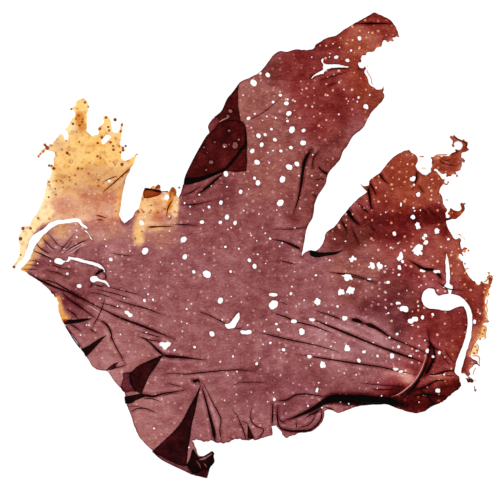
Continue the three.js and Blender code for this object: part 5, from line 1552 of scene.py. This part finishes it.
# %% Places of the brown specks: x, y, radius
SPECKS = [
    (-87.4, 6.5, 0.6), (-84.5, 6.5, 0.5), (-88.3, 2.6, 0.65), (-88.2, -3.6, 0.35), (-90.8, -8.1, 0.5),
    (-77.4, 24.2, 0.4), (-81.6, 10.4, 0.4), (-77.6, 18.4, 0.4), (-75, 21.6, 0.35), (-74.8, 19.4, 0.4),
    (-72.8, 24.6, 0.4), (-58.6, 24.7, 0.45), (-58.6, 22.6, 0.4), (-78.8, 38.1, 0.5), (-77.9, 36.9, 0.65),
    (-78.2, 37.4, 0.5), (-79.3, 35.6, 0.4), (-80.5, 34.6, 0.35), (-81.2, 33.7, 0.4), (-77.2, 30.3, 0.45),
    (-76.2, 30.2, 0.4), (-75.4, 29.3, 0.6), (-76.4, 37.8, 0.35), (-70.9, 39.7, 0.35), (-70.5, 35, 0.6),
    (-66.4, 29.1, 0.5), (-66, 39.2, 0.4), (-68.4, 46.2, 0.5), (-69, 51.8, 0.4), (-67.3, 48.1, 0.35),
    (-65.9, 45.6, 0.45), (-64.9, 46.9, 0.45), (-64.7, 48, 0.4), (-66.2, 49.4, 0.4), (-63.8, 54.3, 0.45),
    (-62.6, 52.7, 0.35), (-59, 38.9, 0.45), (-59.1, 33.8, 0.45), (-58, 33.2, 0.4), (-57.4, 41, 0.5),
    (-58.2, 44.3, 0.5), (-55, 45, 0.45), (-54.6, 43.7, 0.45), (-52.4, 47.8, 0.6), (-54.1, 39.2, 0.45),
    (-53.1, 37.8, 0.45), (-53, 36.4, 0.5), (-50.8, 37.6, 0.35), (-50.4, 35.4, 0.4), (-49.4, 37.1, 0.45),
    (-49.3, 36.2, 0.5), (-48.4, 37.8, 0.45), (-50.3, 43.4, 0.45), (-49.8, 45.8, 0.45), (-49.8, 30.8, 0.6),
    (-53, 31.6, 0.35), (-55.8, 48.6, 0.5), (-35.9, 22.4, 0.7), (-28, 22, 0.4), (-43.6, 12.8, 0.5),
    (-41.6, 12.8, 0.4), (-38.8, 15.2, 0.35), (-38.8, 13.3, 0.35), (-36, 12.6, 0.35), (-33.4, 13.8, 0.4),
    (87.3, -30.6, 0.35), (87.9, -32.2, 0.4), (87.2, -33.6, 0.35), (86.3, -35.6, 0.35), (84.4, -38.4, 0.35),
    (85.1, -39.8, 0.35), (84, -40.9, 0.4), (89.3, -18.4, 0.35), (90.5, -11.8, 0.35), (89.4, -10.4, 0.35),
    (82.2, -50.2, 0.35), (84.5, -55, 0.45), (81.8, -1.9, 0.35), (80.4, -6.9, 0.35), (79.9, 31.9, 0.45),
    (77.4, 26.4, 0.4), (74.1, 24, 0.35), (81.2, 36.2, 0.4), (79.9, 39.9, 0.4), (80.4, 15.9, 0.35),
]

# %% Instance one low dot on them
SPECK_RADII, SPECK_PURPLE = (0.35, 0.6), (0.7, 1.15)  # the larger ones are darker
SPECK_YELLOW = 1.7
SPECK_WIDEN = 1.15
SPECK_AROUND, SPECK_RINGS, SPECK_FLATNESS = 8, 4, 0.3


def speck_tree(material):
    """One flattened dot on every point, as large as the attribute half_width says."""
    tree, start, end = new_tree("specks", {"Around": "NodeSocketInt", "Rings": "NodeSocketInt",
                                           "Flatness": "NodeSocketFloat"})
    ball = add_node(tree, "GeometryNodeMeshUVSphere", {"Segments": start.outputs["Around"],
                                                       "Rings": start.outputs["Rings"], "Radius": 1.0})
    smooth = add_node(tree, "GeometryNodeSetShadeSmooth", {"Geometry": ball.outputs[0]})
    radius = add_node(tree, "GeometryNodeInputNamedAttribute", {"Name": "half_width"}, data_type="FLOAT")
    height = add_node(tree, "ShaderNodeMath", {0: radius.outputs[0], 1: start.outputs["Flatness"]},
                      operation="MULTIPLY")
    size = add_node(tree, "ShaderNodeCombineXYZ", {0: radius.outputs[0], 1: radius.outputs[0],
                                                   2: height.outputs[0]})
    dots = add_node(tree, "GeometryNodeInstanceOnPoints",
                    {"Points": start.outputs["Geometry"], "Instance": smooth.outputs[0],
                     "Scale": size.outputs[0]})
    finish_tree(tree, dots.outputs[0], end, material)
    return tree


speck_places, speck_radii = np.array(SPECKS)[:, :2], np.array(SPECKS)[:, 2]
speck_points = np.column_stack([speck_places, drop_on(speck_places, surfaces)])
brown_specks = add_piece("brown_specks", speck_points, [], [], half_width=speck_radii * SPECK_WIDEN * MM,
                         purple=np.interp(speck_radii, SPECK_RADII, SPECK_PURPLE),
                         yellow=np.full(len(SPECKS), SPECK_YELLOW))
apply_tree(brown_specks, speck_tree(membrane),
           {"Around": SPECK_AROUND, "Rings": SPECK_RINGS, "Flatness": SPECK_FLATNESS})
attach(brown_specks, "root")
print("brown_specks:", len(SPECKS), "dots,", len(brown_specks.data.polygons), "faces")

# %% [markdown]
# ## Floor, light and camera
#
# The photograph is taken from straight above on plain white, as on a copy stand: soft lights at about 45
# degrees on all four sides, and nothing bright behind the camera that a flat leaf could mirror. The lens
# is long, so that ruffles near the margin aren't seen from the side.

# %% Floor
FLOOR_HALF = 3.0
PAPER_FIBRES, FIBRE_STRENGTH = 0.6, 0.05
PAPER_GLOW = 0.92  # keeps the paper pure white, as it is on the photograph


def make_floor():
    """A large sheet of matt white paper just under the blade."""
    material = bpy.data.materials.new("white_paper")
    material.use_nodes = True
    tree = material.node_tree
    shader = tree.nodes["Principled BSDF"]
    place = add_node(tree, "ShaderNodeTexCoord").outputs["Object"]
    fibres = add_node(tree, "ShaderNodeTexNoise", {"Vector": place, "Scale": 1 / (PAPER_FIBRES * MM),
                                                   "Detail": 3.0})
    bump = add_node(tree, "ShaderNodeBump", {"Height": fibres.outputs[0], "Strength": FIBRE_STRENGTH,
                                             "Distance": FLOOR_GAP * MM})
    tree.links.new(bump.outputs[0], shader.inputs["Normal"])
    shader.inputs["Base Color"].default_value = (*linear("#707070"), 1)
    shader.inputs["Emission Color"].default_value = (1, 1, 1, 1)
    shader.inputs["Emission Strength"].default_value = PAPER_GLOW
    shader.inputs["Roughness"].default_value = 0.9
    shader.inputs["Specular IOR Level"].default_value = 0.1
    mesh = bpy.data.meshes.new("floor")
    corners = [(-1, -1), (1, -1), (1, 1), (-1, 1)]
    places = [(x * FLOOR_HALF, y * FLOOR_HALF, -FLOOR_GAP * MM) for x, y in corners]
    mesh.from_pydata(places, [], [(0, 1, 2, 3)])
    mesh.materials.append(material)
    return add_object("floor", mesh)


floor = make_floor()

# %% Lights
LAMP_DISTANCE = 0.9
LAMP_SIZE = 0.55
LAMP_WATTS = 2.9
LAMP_HEIGHT = math.radians(46)
WORLD_STRENGTH = 0.3


def add_lamp(azimuth):
    """A square soft lamp that shines on the middle of the blade."""
    data = bpy.data.lights.new("lamp", "AREA")
    data.size = LAMP_SIZE
    data.energy = LAMP_WATTS
    lamp = add_object("lamp", data)
    flat = LAMP_DISTANCE * math.cos(LAMP_HEIGHT)
    lamp.location = (flat * math.cos(azimuth), flat * math.sin(azimuth), LAMP_DISTANCE * math.sin(LAMP_HEIGHT))
    lamp.rotation_euler = Vector(lamp.location).to_track_quat("Z", "Y").to_euler()


for quarter in range(4):
    add_lamp(math.radians(45 + 90 * quarter))
world = bpy.data.worlds.new("studio")
world.use_nodes = True
world.node_tree.nodes["Background"].inputs["Color"].default_value = (1, 1, 1, 1)
world.node_tree.nodes["Background"].inputs["Strength"].default_value = WORLD_STRENGTH
bpy.context.scene.world = world
bpy.context.scene.view_settings.view_transform = "Standard"

# %% Camera
LENS = 200.0
SENSOR = 36.0
VIEW_WIDTH = 190.0  # of the blade's plane
VIEW_MIDDLE = (-1.14, 0.57)

camera_data = bpy.data.cameras.new("camera")
camera_data.lens = LENS
camera_data.sensor_width = SENSOR
camera = add_object("camera", camera_data)
camera.location = (VIEW_MIDDLE[0] * MM, VIEW_MIDDLE[1] * MM, VIEW_WIDTH * MM * LENS / SENSOR)
bpy.context.scene.camera = camera
